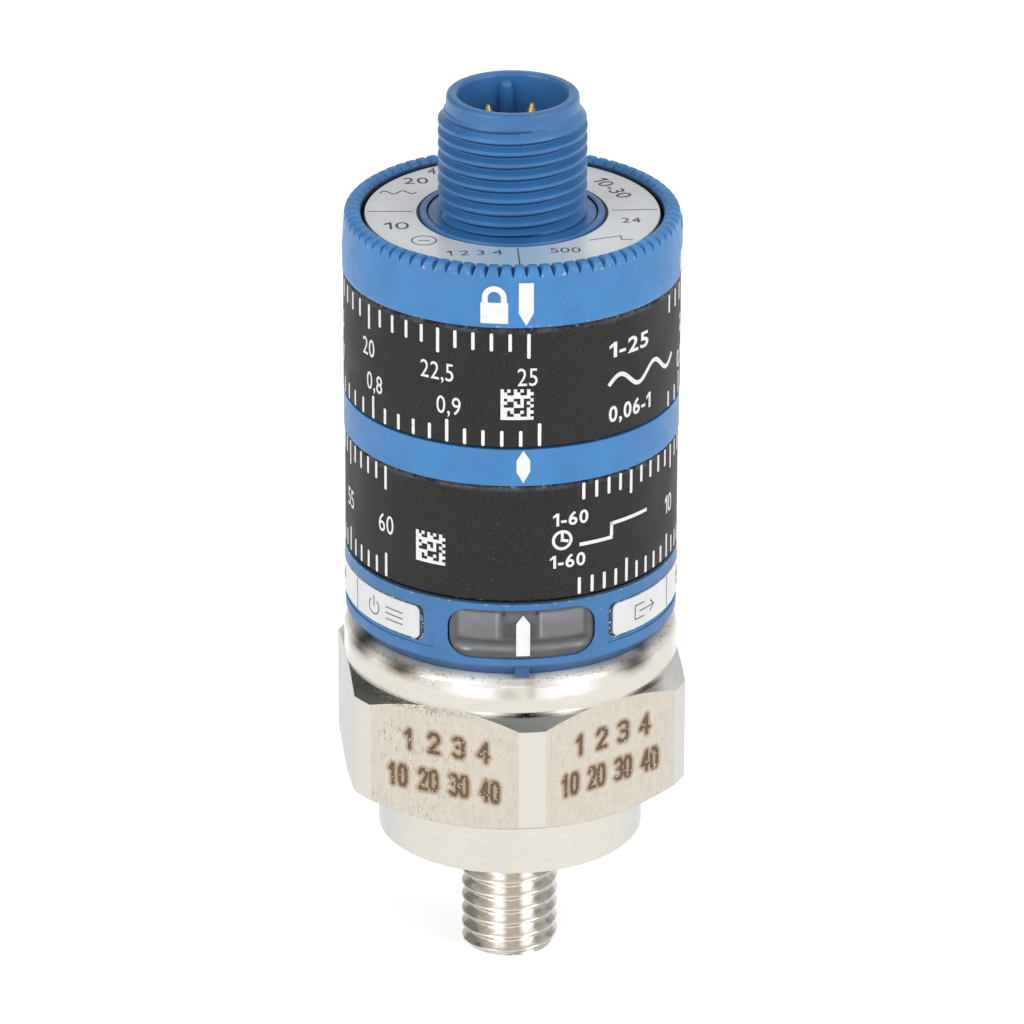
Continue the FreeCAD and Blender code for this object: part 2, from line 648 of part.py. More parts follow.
def connector_body():
    """Flange, M12 thread at its outer diameter, rim and key rib in one moulding."""
    shoulder = PLUG_FOOT + CARRIER_FOOT_HEIGHT + FIT_CLEARANCE
    body = turned([
        (CARRIER_FOOT_R + FIT_CLEARANCE, PLUG_FOOT),
        (PLUG_BASE_R, PLUG_FOOT),
        (PLUG_BASE_R, CAP_SEAT),
        (PLUG_FLANGE_R, CAP_SEAT),
        (PLUG_FLANGE_R, FLANGE_TOP),
        (PLUG_RECESS_R, FLANGE_TOP),
        (PLUG_RECESS_R, THREAD_FOOT),
        (PLUG_THREAD_R, THREAD_FOOT),
        (PLUG_THREAD_R, THREAD_TOP - PLUG_THREAD_CHAMFER),
        (PLUG_RIM_R, THREAD_TOP),
        (PLUG_RIM_R, RIM_TOP - PLUG_RIM_EDGE),
        (PLUG_RIM_R - PLUG_RIM_EDGE, RIM_TOP),
        (PLUG_BORE_R + PLUG_RIM_EDGE, RIM_TOP),
        (PLUG_BORE_R, RIM_TOP - PLUG_RIM_EDGE),
        (PLUG_BORE_R, shoulder),
        (CARRIER_FOOT_R + FIT_CLEARANCE, shoulder),
    ])
    rib_place = spot(KEY_RIB_REACH, PLUG_TURN + 180)
    rib = rod(KEY_RIB_R, PLUG_FLOOR, RIM_TOP - KEY_RIB_BELOW_RIM, rib_place.x, rib_place.y)
    return body.fuse(rib)


def contact_carrier():
    """The insert that holds the pins, pushed into the plug from below up to its shoulder."""
    shoulder = PLUG_FOOT + CARRIER_FOOT_HEIGHT
    insert = turned([
        (0, PLUG_FOOT),
        (CARRIER_FOOT_R, PLUG_FOOT),
        (CARRIER_FOOT_R, shoulder),
        (CARRIER_R, shoulder),
        (CARRIER_R, PLUG_FLOOR),
        (0, PLUG_FLOOR),
    ])
    holes = [rod(PIN_R + PIN_HOLE_CLEARANCE, PLUG_FOOT, PLUG_FLOOR, at.x, at.y) for at in pin_spots()]
    return insert.cut(holes)


def contact_pin(place):
    top = RIM_TOP - PIN_BELOW_RIM
    pin = turned([
        (0, PIN_BOARD_BOTTOM - PIN_TAIL),
        (PIN_R, PIN_BOARD_BOTTOM - PIN_TAIL),
        (PIN_R, top - PIN_TIP_HEIGHT),
        (PIN_TIP_R, top),
        (0, top),
    ])
    pin.translate(place)
    return pin


def pin_board():
    board = rod(PIN_BOARD_R, PIN_BOARD_BOTTOM, PIN_BOARD_TOP)
    holes = [rod(PIN_R + PIN_HOLE_CLEARANCE, PIN_BOARD_BOTTOM, PIN_BOARD_TOP, at.x, at.y)
             for at in pin_spots()]
    return board.cut(holes)


def main_board():
    """The upright board between the lower and the upper board."""
    height = PIN_BOARD_BOTTOM - SENSE_BOARD_TOP
    return block((2 * MAIN_BOARD_HALF_WIDTH, BOARD_THICKNESS, height), 0, 0, SENSE_BOARD_TOP)


def sense_board():
    """The round board on the floor of the base, held by two screws."""
    board = rod(SENSE_BOARD_R, CAVITY_FLOOR, SENSE_BOARD_TOP)
    for side in (-1, 1):
        board = board.cut(screw_hole(side, CAVITY_FLOOR))
    return board


def screw_hole(side, bottom):
    return rod(SCREW_R + FIT_CLEARANCE, bottom, SENSE_BOARD_TOP, 0, side * SCREW_PLACE_R)


def board_screw(side):
    shank = rod(SCREW_R, SENSE_BOARD_TOP - SCREW_LENGTH + FIT_CLEARANCE, SENSE_BOARD_TOP,
                0, side * SCREW_PLACE_R)
    head = rod(SCREW_HEAD_R, SENSE_BOARD_TOP, SENSE_BOARD_TOP + SCREW_HEAD_HEIGHT,
               0, side * SCREW_PLACE_R)
    return head.fuse(shank)


def accelerometer_chip():
    centre_y = -BOARD_FACE - ACCELEROMETER_GAP - ACCELEROMETER[1] / 2
    return block(ACCELEROMETER, 0, centre_y, SENSE_BOARD_TOP)


def controller_chip():
    return block(CONTROLLER, 0, BOARD_FACE + CONTROLLER[1] / 2, SENSE_BOARD_TOP + CONTROLLER_UP)


def led(side):
    return block(LED, side * GUIDE_SPACING / 2, -BOARD_FACE - LED[1] / 2, WINDOW_Z - LED[2] / 2)


def hall_sensor(z):
    return block(HALL, HALL_X, -BOARD_FACE - HALL[1] / 2, z - HALL[2] / 2)


def main():
    os.makedirs("parts", exist_ok=True)
    save("sensor_base", sensor_base())
    save("mounting_stud", mounting_stud())
    save("base_seal", base_seal())
    save("core_housing", core_housing())
    save("indicator_window", indicator_window())
    save("light_divider", light_divider())
    save("indicator_label", indicator_label())
    save("delay_ring", delay_ring())
    save("delay_friction_ring", delay_friction_ring())
    save("delay_magnet", delay_magnet())
    save("pointer_ring", pointer_ring())
    save("level_ring", level_ring())
    save("level_friction_ring", level_friction_ring())
    save("level_magnet", level_magnet())
    save("lock_ring", lock_ring())
    save("top_cap", top_cap())
    save("cap_seal", cap_seal())
    save("top_label", top_label())
    save("connector_body", connector_body())
    save("contact_carrier", contact_carrier())
    for number, place in enumerate(pin_spots(), start=1):
        save("contact_pin_" + str(number), contact_pin(place))
    save("pin_board", pin_board())
    save("main_board", main_board())
    save("sense_board", sense_board())
    save("accelerometer_chip", accelerometer_chip())
    save("controller_chip", controller_chip())
    save("led_green", led(-1))
    save("led_yellow", led(1))
    save("level_hall_sensor", hall_sensor(level_middle()))
    save("delay_hall_sensor", hall_sensor(delay_middle()))
    for number, side in enumerate((-1, 1), start=1):
        save("board_screw_" + str(number), board_screw(side))


main()
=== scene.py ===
import math
from functools import partial, reduce

import bmesh
import bpy
import numpy as np
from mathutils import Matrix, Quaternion, Vector


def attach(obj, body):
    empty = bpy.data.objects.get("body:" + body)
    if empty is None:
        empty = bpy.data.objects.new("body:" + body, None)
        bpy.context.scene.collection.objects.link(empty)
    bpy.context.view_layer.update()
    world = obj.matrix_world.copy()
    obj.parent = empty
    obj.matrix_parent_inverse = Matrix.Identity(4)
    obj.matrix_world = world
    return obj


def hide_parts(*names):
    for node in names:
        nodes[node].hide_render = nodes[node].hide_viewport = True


# Sizes are in millimetres and angles in degrees from -Y towards +X, as in the part's source.
MM = 0.001
LEVEL_R, DELAY_R, LOCK_R, POINTER_R = 13.52, 13.43, 13.6, 13.5
SKIRT_R, WINDOW_R, BAND_R = 13.45, 13.4, 13.5
HEX_FLAT, HEX_TOP, NECK_FOOT = 13.5, 15.4, 15.9
LABEL_Z, STUD_END = 53.5, -11.1

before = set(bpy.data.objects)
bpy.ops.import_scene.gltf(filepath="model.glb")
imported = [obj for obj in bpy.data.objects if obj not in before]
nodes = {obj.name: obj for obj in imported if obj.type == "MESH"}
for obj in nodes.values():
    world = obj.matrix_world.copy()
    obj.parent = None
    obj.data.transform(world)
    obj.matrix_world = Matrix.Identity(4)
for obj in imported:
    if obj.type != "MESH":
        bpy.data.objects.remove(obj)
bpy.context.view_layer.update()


# Node graphs

class Graph:
    """The node tree of a material or a world, with short names for the nodes it uses."""

    def __init__(self, owner):
        self.owner = owner
        owner.use_nodes = True
        self.tree = owner.node_tree
        self.tree.nodes.clear()

    def node(self, kind, *values, **named):
        """A node whose first sockets take the values. A name with a capital is a socket's, any other
        a setting's."""
        made = self.tree.nodes.new("ShaderNode" + kind)
        for key, value in named.items():
            if key[0].islower():
                setattr(made, key, value)
            else:
                self.feed(made.inputs[key.replace("_", " ")], value)
        for socket, value in zip(made.inputs, values):
            self.feed(socket, value)
        return made

    def feed(self, socket, value):
        if isinstance(value, bpy.types.NodeSocket):
            self.tree.links.new(value, socket)
        else:
            socket.default_value = (*value, 1) if socket.type == "RGBA" else value

    def math(self, operation, a, b=0):
        return self.node("Math", a, b, operation=operation).outputs[0]

    def total(self, *values):
        return reduce(partial(self.math, "ADD"), values)

    def product(self, *values):
        return reduce(partial(self.math, "MULTIPLY"), values)

    def rest(self, value):
        """What is left of 1."""
        return self.math("SUBTRACT", 1, value)

    def map(self, value, low, high, to_low=0, to_high=1):
        return self.node("MapRange", value, low, high, to_low, to_high,
                         interpolation_type="SMOOTHSTEP").outputs[0]

    def near(self, value, centre, reach):
        """1 where value is at centre, falling to 0 at reach from it."""
        return self.map(self.math("ABSOLUTE", self.math("SUBTRACT", value, centre)), reach, 0)

    def between(self, value, foot, low, high, end):
        """1 from low to high, falling to 0 at foot and at end."""
        return self.product(self.map(value, foot, low), self.map(value, end, high))

    def mix(self, factor, a, b):
        made = self.node("Mix", factor, data_type="RGBA")
        self.feed(made.inputs[6], a)
        self.feed(made.inputs[7], b)
        return made.outputs[2]


class Surface(Graph):
    """A material that knows its place on the object in millimetres, whole (at) and by axis, and whose
    colour is laid on in layers."""

    def __init__(self, name):
        super().__init__(bpy.data.materials.new(name))
        self.at = self.node("TexCoord").outputs["Object"]
        self.at = self.stretch(1 / MM, 1 / MM, 1 / MM)
        self.x, self.y, self.z = self.node("SeparateXYZ", self.at).outputs

    def stretch(self, *factors):
        """The place, scaled by axis."""
        return self.node("VectorMath", self.at, factors, operation="MULTIPLY").outputs["Vector"]

    def angle(self):
        turn = self.math("ARCTAN2", self.x, self.product(self.y, -1))
        return self.product(turn, 180 / math.pi)

    def noise(self, scale, detail=2, rough=0.5, at=None):
        """Noise with that many cells to the millimetre."""
        return self.node("TexNoise", Vector=at or self.at, Scale=scale, Detail=detail,
                         Roughness=rough).outputs["Fac"]

    def ground(self, factor, low, high):
        """The lowest layer, between two colours."""
        self.colour = self.mix(factor, low, high)

    def over(self, tint, *masks):
        """A layer of one tint, by the product of the masks."""
        self.colour = self.mix(self.product(*masks), self.colour, tint)

    def written(self, name):
        """A number that the points of the mesh carry."""
        return self.node("Attribute", attribute_name=name).outputs["Fac"]

    def finish(self, height, depth, soft=0, **sockets):
        """The material, with a bump from a height in millimetres on edges rounded by the radius soft."""
        bump = self.node("Bump", Height=self.product(height, depth * MM), Distance=1)
        if soft:
            self.feed(bump.inputs["Normal"], self.node("Bevel", samples=4, Radius=soft * MM).outputs[0])
        shader = self.node("BsdfPrincipled", self.colour, Normal=bump.outputs["Normal"], **sockets)
        self.node("OutputMaterial", shader.outputs[0])
        return self.owner


# The colour of painted shade on the blue plastics.
SHADE_TINT = (0.01, 0.016, 0.024)
PALE = (0.62, 0.7, 0.78)


def plastic(name, colour, rough=0.42, edges=(), specks=0.73, soft=0.03, dark=()):
    """Moulded plastic with fine grain, dust specks and pale nicks along the given heights, which on the
    locking ring are partly painted highlights. It carries painted shade: darker between the pairs of
    heights in dark, and by the amount written on the mesh's points."""
    g = Surface(name)
    g.ground(g.map(g.noise(0.25, 3), 0.35, 0.65), tuple(0.93 * c for c in colour),
             tuple(1.06 * c for c in colour))
    fine = g.noise(9)
    g.over(PALE, g.map(g.noise(4.5, 1.5, 0.6), specks, specks + 0.03), 0.55)
    for height, reach in edges:
        g.over(PALE, g.near(g.z, height, reach), g.map(g.noise(1.7, 3, 0.7), 0.56, 0.66), 0.6)
    # Painted shade between the given pairs of heights.
    for clear, full, share in dark:
        g.over(SHADE_TINT, g.map(g.z, clear, full), share)
    # Painted shade by the amount written on the mesh's points, a little patchy.
    painted_shade = g.written("painted_shade")
    patchy = g.total(painted_shade, g.product(g.total(fine, -0.5), painted_shade, 0.6))
    g.over(SHADE_TINT, g.map(patchy, 0.05, 0.95))
    roughness = g.map(g.noise(1.2, 3), 0.3, 0.7, rough - 0.05, rough + 0.06)
    return g.finish(fine, 0.004, soft, Roughness=roughness, IOR=1.48)


# What the neck's fillet mirrors: angle, reach, lowest and highest z, tint and share
NECK_TINTS = (
    (-84, 8, 16, 18.7, (0.8, 0.79, 0.77), 0.7), (-72, 13, 17.1, 17.7, (0.3, 0.28, 0.25), 0.55),
    (-69, 13, 17.6, 19.5, (0.04, 0.04, 0.034), 0.93), (-46, 13, 17.3, 17.8, (0.34, 0.25, 0.15), 0.65),
    (-45, 13, 17.75, 18.5, (0.05, 0.042, 0.03), 0.93), (-17, 15, 17, 19.5, (0.98, 0.98, 0.97), 0.95),
    (16, 15, 16.9, 19.5, (0.98, 0.98, 0.97), 0.95), (-5, 7, 17, 17.8, (0.5, 0.46, 0.4), 0.7),
    (3, 3, 17, 18.6, (0.52, 0.47, 0.4), 0.8), (45, 13, 17.3, 17.8, (0.36, 0.33, 0.29), 0.6),
    (44, 13, 17.75, 18.6, (0.055, 0.052, 0.045), 0.93), (52, 7, 18.5, 19.5, (0.1, 0.1, 0.09), 0.8),
    (108, 11, 17.2, 18.7, (0.16, 0.15, 0.14), 0.75), (150, 13, 16.9, 18.2, (0.42, 0.39, 0.35), 0.6),
    (-118, 12, 17.1, 18.7, (0.18, 0.17, 0.16), 0.75), (-156, 10, 17, 18.2, (0.46, 0.43, 0.39), 0.55),
)


def steel(name):
    """Turned and brushed steel: vertical brush marks on the hexagon, turning marks elsewhere, stains, and
    painted light: reflections on the neck and the chamfers, highlights and dark reflections on the
    hexagon's top edge, and a cooler grey on its sides and at the back.
    """
    g = Surface(name)
    from_axis = g.node("VectorMath", g.stretch(1, 1, 0), operation="LENGTH").outputs["Value"]
    flats = g.map(from_axis, 14.992, 14.976)
    under_neck = g.map(g.z, NECK_FOOT, HEX_TOP)
    height = g.product(g.map(g.z, 5.2, 5.4), under_neck)
    hexagon = g.product(height, flats)
    upright = g.product(g.total(g.noise(1, 4, 0.65, g.stretch(7, 7, 0.45)), g.noise(1.6, 4, 0.65)), 0.5)
    round_marks = g.noise(1, 3, 0.6, g.stretch(0.7, 0.7, 3))
    brushed = g.total(g.product(upright, hexagon), g.product(round_marks, g.rest(height)))
    even = g.total(brushed, g.product(0.5, height, g.rest(flats)))
    g.ground(hexagon, g.mix(g.map(even, 0.2, 0.8), (0.675, 0.648, 0.585), (0.715, 0.69, 0.63)),
             g.mix(g.map(even, 0.25, 0.75), (0.57, 0.52, 0.44), (0.69, 0.645, 0.56)))

    # Painted reflections on the hexagon's chamfers: dark greys, lighter on the left, and a painted highlight
    # on the right, where the steel is also less metallic.
    slope = g.node("SeparateXYZ", g.node("NewGeometry").outputs["True Normal"]).outputs["Z"]
    chamfer = g.product(g.between(slope, 0.8, 0.84, 0.89, 0.93), under_neck)
    painted_highlight_right = g.map(g.x, 10.6, 12.4)
    chamfer_painted_reflection = g.mix(g.noise(5, 3), (0.4, 0.4, 0.375), (0.48, 0.475, 0.445))
    chamfer_painted_reflection = g.mix(g.map(g.x, -6, -10), chamfer_painted_reflection, (0.6, 0.595, 0.53))
    g.over(g.mix(painted_highlight_right, chamfer_painted_reflection, (0.88, 0.87, 0.85)), chamfer)

    g.over((0.36, 0.29, 0.2), g.map(g.noise(3.2, 3, 0.7), 0.58, 0.72), hexagon, 0.5)
    left = g.map(g.x, -1, -9)
    dashes = g.map(g.noise(1, 2, 0.7, g.stretch(7.5, 7.5, 1.5)), 0.6, 0.67)
    g.over((0.24, 0.15, 0.08), dashes, hexagon, g.map(g.noise(0.28), 0.42, 0.62), g.total(0.25, left), 0.75)

    neck = g.map(g.z, 15.45, NECK_FOOT)
    angle = g.angle()
    wander = g.total(g.z, g.product(g.total(g.noise(0.5), -0.5), 0.5))
    # Painted reflections on the neck, from NECK_TINTS.
    for middle, reach, low, high, tint, share in NECK_TINTS:
        layer = g.between(wander, low - 0.35, low + 0.25, high - 0.25, high + 0.35)
        g.over(tint, g.near(angle, middle, reach), layer, neck, share)
    g.over((0.04, 0.035, 0.03), g.map(g.noise(4.2, 3, 0.75), 0.54, 0.6), neck,
           g.near(angle, -33, 18), g.near(g.z, 17.9, 0.9), 0.55)
    g.over((0.14, 0.1, 0.06), g.near(g.z, 15.3, 0.5), g.map(g.noise(4, 2, 0.7), 0.44, 0.56), left, 0.6)

    # Painted highlights and dark painted reflections along the hexagon's top edge.
    edge = g.between(g.z, 15.3, 15.42, 15.66, 15.78)
    for middle in (-12.5, 15.5):
        g.over((0.98, 0.98, 0.97), edge, g.near(angle, middle, 7))
    g.over((0.015, 0.014, 0.014), edge, g.near(angle, 1.5, 11), g.map(g.noise(4, 2, 0.7), 0.28, 0.4))
    g.over((0.06, 0.055, 0.05), edge, g.near(angle, 50, 14), 0.85)
    # Painted light: a cooler grey on the hexagon's sides and all round the back, which face other light than
    # the front.
    turned_away = g.math("ABSOLUTE", angle)
    behind = g.map(turned_away, 80, 110, 0, 0.7)
    g.over((0.56, 0.575, 0.59), g.map(turned_away, 48, 78), g.math("MAXIMUM", under_neck, behind), 0.75)
    g.over((0.06, 0.045, 0.035), g.near(g.z, 18.45, 0.3), g.map(g.noise(3.6, 3, 0.75), 0.54, 0.6), 0.55)

    rough = g.total(g.map(brushed, 0.3, 0.7, 0.28, 0.22), g.product(hexagon, 0.1), g.product(neck, -0.1))
    dents = g.product(g.noise(2.4, 3, 0.7), g.near(g.z, 18.3, 0.9), 0.03)
    relief = g.total(g.product(brushed, hexagon, 0.008), g.product(brushed, 0.0008),
                     g.product(g.noise(0.8), neck, 0.02), dents)
    mirror = g.rest(g.total(g.product(g.map(g.z, 17.75, 18.15), 0.75), g.product(chamfer, painted_highlight_right, 0.6)))
    return g, relief, rough, mirror


def plain_steel():
    g, relief, rough, mirror = steel("steel")
    return g.finish(relief, 1, 0.12, Metallic=mirror, Roughness=rough)


def etched_steel():
    """The same steel with laser marks, as the distance to their lines in millimetres gives them, with
    painted glints on the marks' rims.
    """
    g, relief, rough, mirror = steel("steel_etched")
    away = g.total(g.written("mark_distance"), g.product(g.total(g.noise(3.5, 3), -0.5), 0.13))
    ring = g.map(away, 0.175, 0.105)
    g.over((0.36, 0.23, 0.13), g.map(away, 0.52, 0.16), 0.8)
    g.over((0.06, 0.036, 0.02), ring, 0.81)
    g.over((0.22, 0.15, 0.1), g.map(away, 0.085, 0.03), 0.55)
    # Painted glints: pale flecks on the marks' dark rims.
    g.over((0.85, 0.82, 0.78), ring, g.map(g.noise(4), 0.63, 0.7), 0.8)
    return g.finish(relief, 1, Metallic=g.rest(g.product(ring, 0.6)),
                    Roughness=g.total(rough, g.product(ring, 0.25)))


# What the stud mirrors: the angle where a band starts and its tint
STUD_BANDS = ((-180, (0.52, 0.5, 0.45)), (-50, (0.66, 0.62, 0.55)), (-28, (0.97, 0.96, 0.94)),
              (-10, (0.66, 0.61, 0.54)), (12, (0.95, 0.94, 0.92)), (30, (0.54, 0.51, 0.46)),
              (61, (0.86, 0.85, 0.83)), (98, (0.62, 0.6, 0.56)), (130, (0.76, 0.74, 0.7)),
              (160, (0.52, 0.5, 0.45)))


def thread_steel():
    """Bright turned steel in soft upright bands of light and shade."""
    g = Surface("stud_steel")
    angle = g.angle()
    g.colour = STUD_BANDS[0][1]
    for start, tint in STUD_BANDS[1:]:
        g.over(tint, g.map(angle, start - 4.5, start + 4.5))
    marks = g.noise(1, 3, 0.6, g.stretch(1.5, 1.5, 5))
    g.over((0.62, 0.57, 0.5), g.map(marks, 0.55, 0.75, 0, 0.25))
    g.over((0.58, 0.56, 0.52), g.map(g.z, -9.9, -10.6, 0, 0.85))
    mirror = g.product(g.map(angle, -40, -60, 1, 0.55), g.map(angle, 150, 175, 1, 0.55))
    return g.finish(marks, 0.003, Metallic=mirror, Roughness=g.map(marks, 0.3, 0.7, 0.16, 0.24))


def black_ring(name, edges):
    """Black moulded ring with fine grain, grey dust specks, a patchy grey band along its top edge and
    pale nicks at its edges."""
    g = Surface(name)
    grain = g.noise(6, 3, 0.6)
    g.ground(g.map(grain, 0.35, 0.65), (0.014, 0.014, 0.015), (0.026, 0.026, 0.027))
    g.over((0.22, 0.21, 0.2), g.map(g.noise(3.6, 2, 0.7), 0.7, 0.74), 0.35)
    # A patchy grey band along the top edge.
    g.over((0.19, 0.19, 0.19), g.near(g.z, edges[0] - 0.12, 0.42),
           g.map(g.noise(0.9, 4, 0.7), 0.38, 0.62), 0.45)
    for height in edges:
        g.over((0.55, 0.55, 0.54), g.near(g.z, height, 0.22), g.map(g.noise(2.2, 3, 0.75), 0.57, 0.66), 0.7)
    return g.finish(grain, 0.012, 0.06, Roughness=g.map(g.noise(0.3), 0.3, 0.7, 0.48, 0.58), IOR=1.46,
                    Specular_IOR_Level=0.3)


def ink(name, colour, under):
    """Printed ink, a little uneven, with pinholes that show what is under it."""
    g = Surface(name)
    g.ground(g.map(g.noise(1.5), 0.3, 0.7), tuple(0.94 * c for c in colour), colour)
    g.over(under, g.map(g.noise(5, 2, 0.6), 0.66, 0.7), 0.5)
    return g.finish(g.noise(8), 0.004, Roughness=0.55)


def film(name, colour, rough, painted_reflection=None):
    """A printed label film with faint clouds and fine texture, and, if a tint is given, a painted
    reflection of it towards the front.
    """
    g = Surface(name)
    g.ground(g.map(g.noise(0.5, 3), 0.3, 0.7), tuple(0.95 * c for c in colour), colour)
    if painted_reflection:
        # Painted reflection: the given tint towards the front.
        g.over(painted_reflection, g.map(g.y, -5, -8.5), g.near(g.total(g.x, g.product(g.y, -0.1)), 0.6, 7))
    g.over((0.45, 0.42, 0.38), g.map(g.noise(4.5, 2, 0.6), 0.68, 0.72), 0.35)
    return g.finish(g.noise(7), 0.005, Roughness=rough, Coat_Weight=0.4, Coat_Roughness=0.12)


def smoked():
    """Lightly smoked clear plastic."""
    g = Surface("smoked_clear")
    g.ground(g.noise(0.5), (0.16, 0.16, 0.17), (0.22, 0.22, 0.23))
    haze = g.map(g.noise(0.7), 0.3, 0.7, 0.1, 0.16)
    return g.finish(g.noise(1.5), 0.01, Alpha=haze, Roughness=0.08, IOR=1.49)


def frosted():
    """What shows through the window, as a painted picture with its light and shade: two milky light
    guide faces, brighter towards their tops and shaded in their middles, with painted highlights at
    their edges and lower corners, the dark wall between them, the ledge under them and the smoked rim."""
    g = Surface("frosted_guides")
    upright = g.between(g.z, 21.85, 22.35, 24.15, 24.45)
    inside = g.between(g.x, -5.7, -4.9, 4.8, 5.6)
    # Painted light, brighter towards the top.
    painted_light_up = g.map(g.z, 22.3, 24.2, 0.75, 1.15)
    # Each part adds painted light, or painted shade where its share is negative.
    parts = [0.085, g.product(g.noise(1.1, 3), 0.05)]
    for left, right, middle in ((-5.1, -1.8, -3), (1.35, 4.95, 3.4)):
        panel = g.product(g.between(g.x, left - 0.2, left + 0.3, right - 0.2, right + 0.2), upright)
        shade = g.rest(g.product(g.near(g.x, middle, 1.5), g.near(g.z, 23, 0.9), 0.22))
        parts.append(g.product(panel, painted_light_up, shade, 0.208))
    parts += [g.product(g.between(g.x, -1.7, -1.3, 0.8, 1.2), g.between(g.z, 22, 22.3, 23.3, 23.6), -0.055),
              g.product(g.between(g.x, -1.3, -0.9, 0.8, 1.2), g.near(g.z, 23.95, 0.35), 0.06),
              g.product(g.near(g.z, 21.22, 0.42), inside, 0.2),
              g.product(g.near(g.z, 21.86, 0.28), inside, -0.055)]
    for x, share in ((-2.05, 0.17), (1.5, 0.25)):
        parts.append(g.product(g.near(g.x, x, 0.15), upright, share))
    for x in (-5.6, 5.4):
        parts.append(g.product(g.near(g.x, x, 0.22), g.map(g.z, 21.4, 22.2), 0.06))
    for x, wide, z, tall, share in ((-1.5, 0.26, 24.3, 0.34, -0.16), (1.17, 0.26, 24.3, 0.34, -0.16),
                                    (-4.45, 0.6, 21.02, 0.22, 0.62), (4.6, 0.5, 21.1, 0.3, 0.15)):
        parts.append(g.product(g.near(g.x, x, wide), g.near(g.z, z, tall), share))
    g.ground(g.total(*parts), (0, 0, 0), (0.925, 0.98, 1.03))
    return g.finish(g.noise(2), 0.02, Roughness=0.45)


def gummed_edge():
    """A dark, glossy strip round a label: painted shade in the gap, partly a glue seam, with bright flecks
    that are painted highlights.
    """
    g = Surface("label_seam")
    g.ground(g.map(g.noise(2.2, 3, 0.7), 0.52, 0.64), (0.014, 0.018, 0.022), (0.6, 0.62, 0.62))
    return g.finish(g.noise(1.6), 0.05, Roughness=0.25)


def metal(name, low, high, rough):
    g = Surface(name)
    marks = g.noise(3, 3)
    g.ground(g.map(marks, 0.3, 0.7), low, high)
    return g.finish(marks, 0.0008, Metallic=0.85, Roughness=g.map(marks, 0.3, 0.7, rough, rough + 0.1))


def dull(name, low, high, rough, scale=4):
    g = Surface(name)
    grain = g.noise(scale, 3)
    g.ground(g.map(grain, 0.35, 0.65), low, high)
    return g.finish(grain, 0.006, Roughness=g.map(grain, 0.3, 0.7, rough - 0.04, rough + 0.04))


def circuit():
    """Green solder mask with paler tracks on a square grid."""
    g = Surface("board")
    brick = g.node("TexBrick", g.at, (0.012, 0.1, 0.04), (0.016, 0.12, 0.05), (0.035, 0.2, 0.085),
                   Scale=0.6, Mortar_Size=0.05)
    g.colour = brick.outputs["Color"]
    return g.finish(g.noise(3), 0.01, Roughness=0.35)


def paint(material, *names):
    for name in names:
        slots = nodes[name].data.materials
        slots.clear()
        slots.append(material)


plug_blue = plastic("blue_plug", (0.042, 0.178, 0.435), rough=0.34, specks=0.745, soft=0)
# On the lock ring the pale nicks at its top and foot are partly wear and partly painted highlights.
ring_blue = plastic("light_blue_plastic", (0.056, 0.24, 0.565), rough=0.4,
                    edges=((53.32, 0.22), (49.12, 0.1)), specks=0.755)
steel_etched = etched_steel()
stud_steel = thread_steel()
smoky = smoked()
window_depth_paint = frosted()
label_gap_paint = gummed_edge()
white_ink = ink("white_ink", (0.97, 0.97, 0.97), (0.25, 0.25, 0.25))
ring_ink = ink("white_ink_on_blue", (0.94, 0.965, 0.98), (0.3, 0.45, 0.65))
dark_ink = ink("dark_ink", (0.075, 0.075, 0.085), (0.5, 0.52, 0.55))
thin_ink = ink("grey_ink", (0.16, 0.16, 0.17), (0.6, 0.62, 0.65))

paint(plain_steel(), "sensor_base")
paint(stud_steel, "mounting_stud")
# Painted shade on the housing: in the gap under the delay ring and on the downward-facing taper at the foot
# of its skirt.
paint(plastic("blue_plastic", (0.05, 0.195, 0.455), edges=((25.12, 0.2),),
              dark=((25.13, 25.2, 0.85), (19.9, 19.5, 0.45))), "core_housing")
paint(plug_blue, "connector_body")
paint(plastic("blue_carrier", (0.03, 0.12, 0.32), rough=0.5), "contact_carrier")
paint(ring_blue, "pointer_ring", "lock_ring")
paint(black_ring("level_black", (48.9, 38.7)), "level_ring")
paint(black_ring("delay_black", (35.4, 25.4)), "delay_ring")
paint(smoky, "indicator_window")
paint(film("label_white", (0.82, 0.84, 0.86), 0.35), "indicator_label")
paint(film("label_grey", (0.8, 0.83, 0.86), 0.3, painted_reflection=(0.45, 0.66, 0.84)), "top_label")
paint(dull("black_plastic", (0.028, 0.028, 0.029), (0.045, 0.045, 0.046), 0.5), "top_cap", "light_divider")
paint(dull("rubber", (0.02, 0.02, 0.02), (0.034, 0.034, 0.034), 0.6),
      "base_seal", "cap_seal", "level_friction_ring", "delay_friction_ring")
paint(dull("chip", (0.022, 0.022, 0.024), (0.034, 0.034, 0.036), 0.45),
      "accelerometer_chip", "controller_chip", "level_hall_sensor", "delay_hall_sensor")
paint(dull("led_green", (0.14, 0.5, 0.18), (0.22, 0.64, 0.28), 0.2, 1.5), "led_green")
paint(dull("led_yellow", (0.72, 0.52, 0.08), (0.84, 0.64, 0.14), 0.2, 1.5), "led_yellow")
paint(metal("gold_contact", (0.78, 0.5, 0.16), (0.9, 0.64, 0.28), 0.3),
      "contact_pin_1", "contact_pin_2", "contact_pin_3", "contact_pin_4")
paint(metal("magnet_metal", (0.52, 0.52, 0.52), (0.66, 0.66, 0.66), 0.25), "level_magnet", "delay_magnet")
paint(metal("screw_steel", (0.55, 0.56, 0.58), (0.7, 0.71, 0.72), 0.3), "board_screw_1", "board_screw_2")
paint(circuit(), "main_board", "sense_board", "pin_board")


# Meshes

def spot(radius, angle, z):
    """A point in metres at an angle from -Y towards +X."""
    turn = math.radians(angle)
    return (radius * math.sin(turn) * MM, -radius * math.cos(turn) * MM, z * MM)


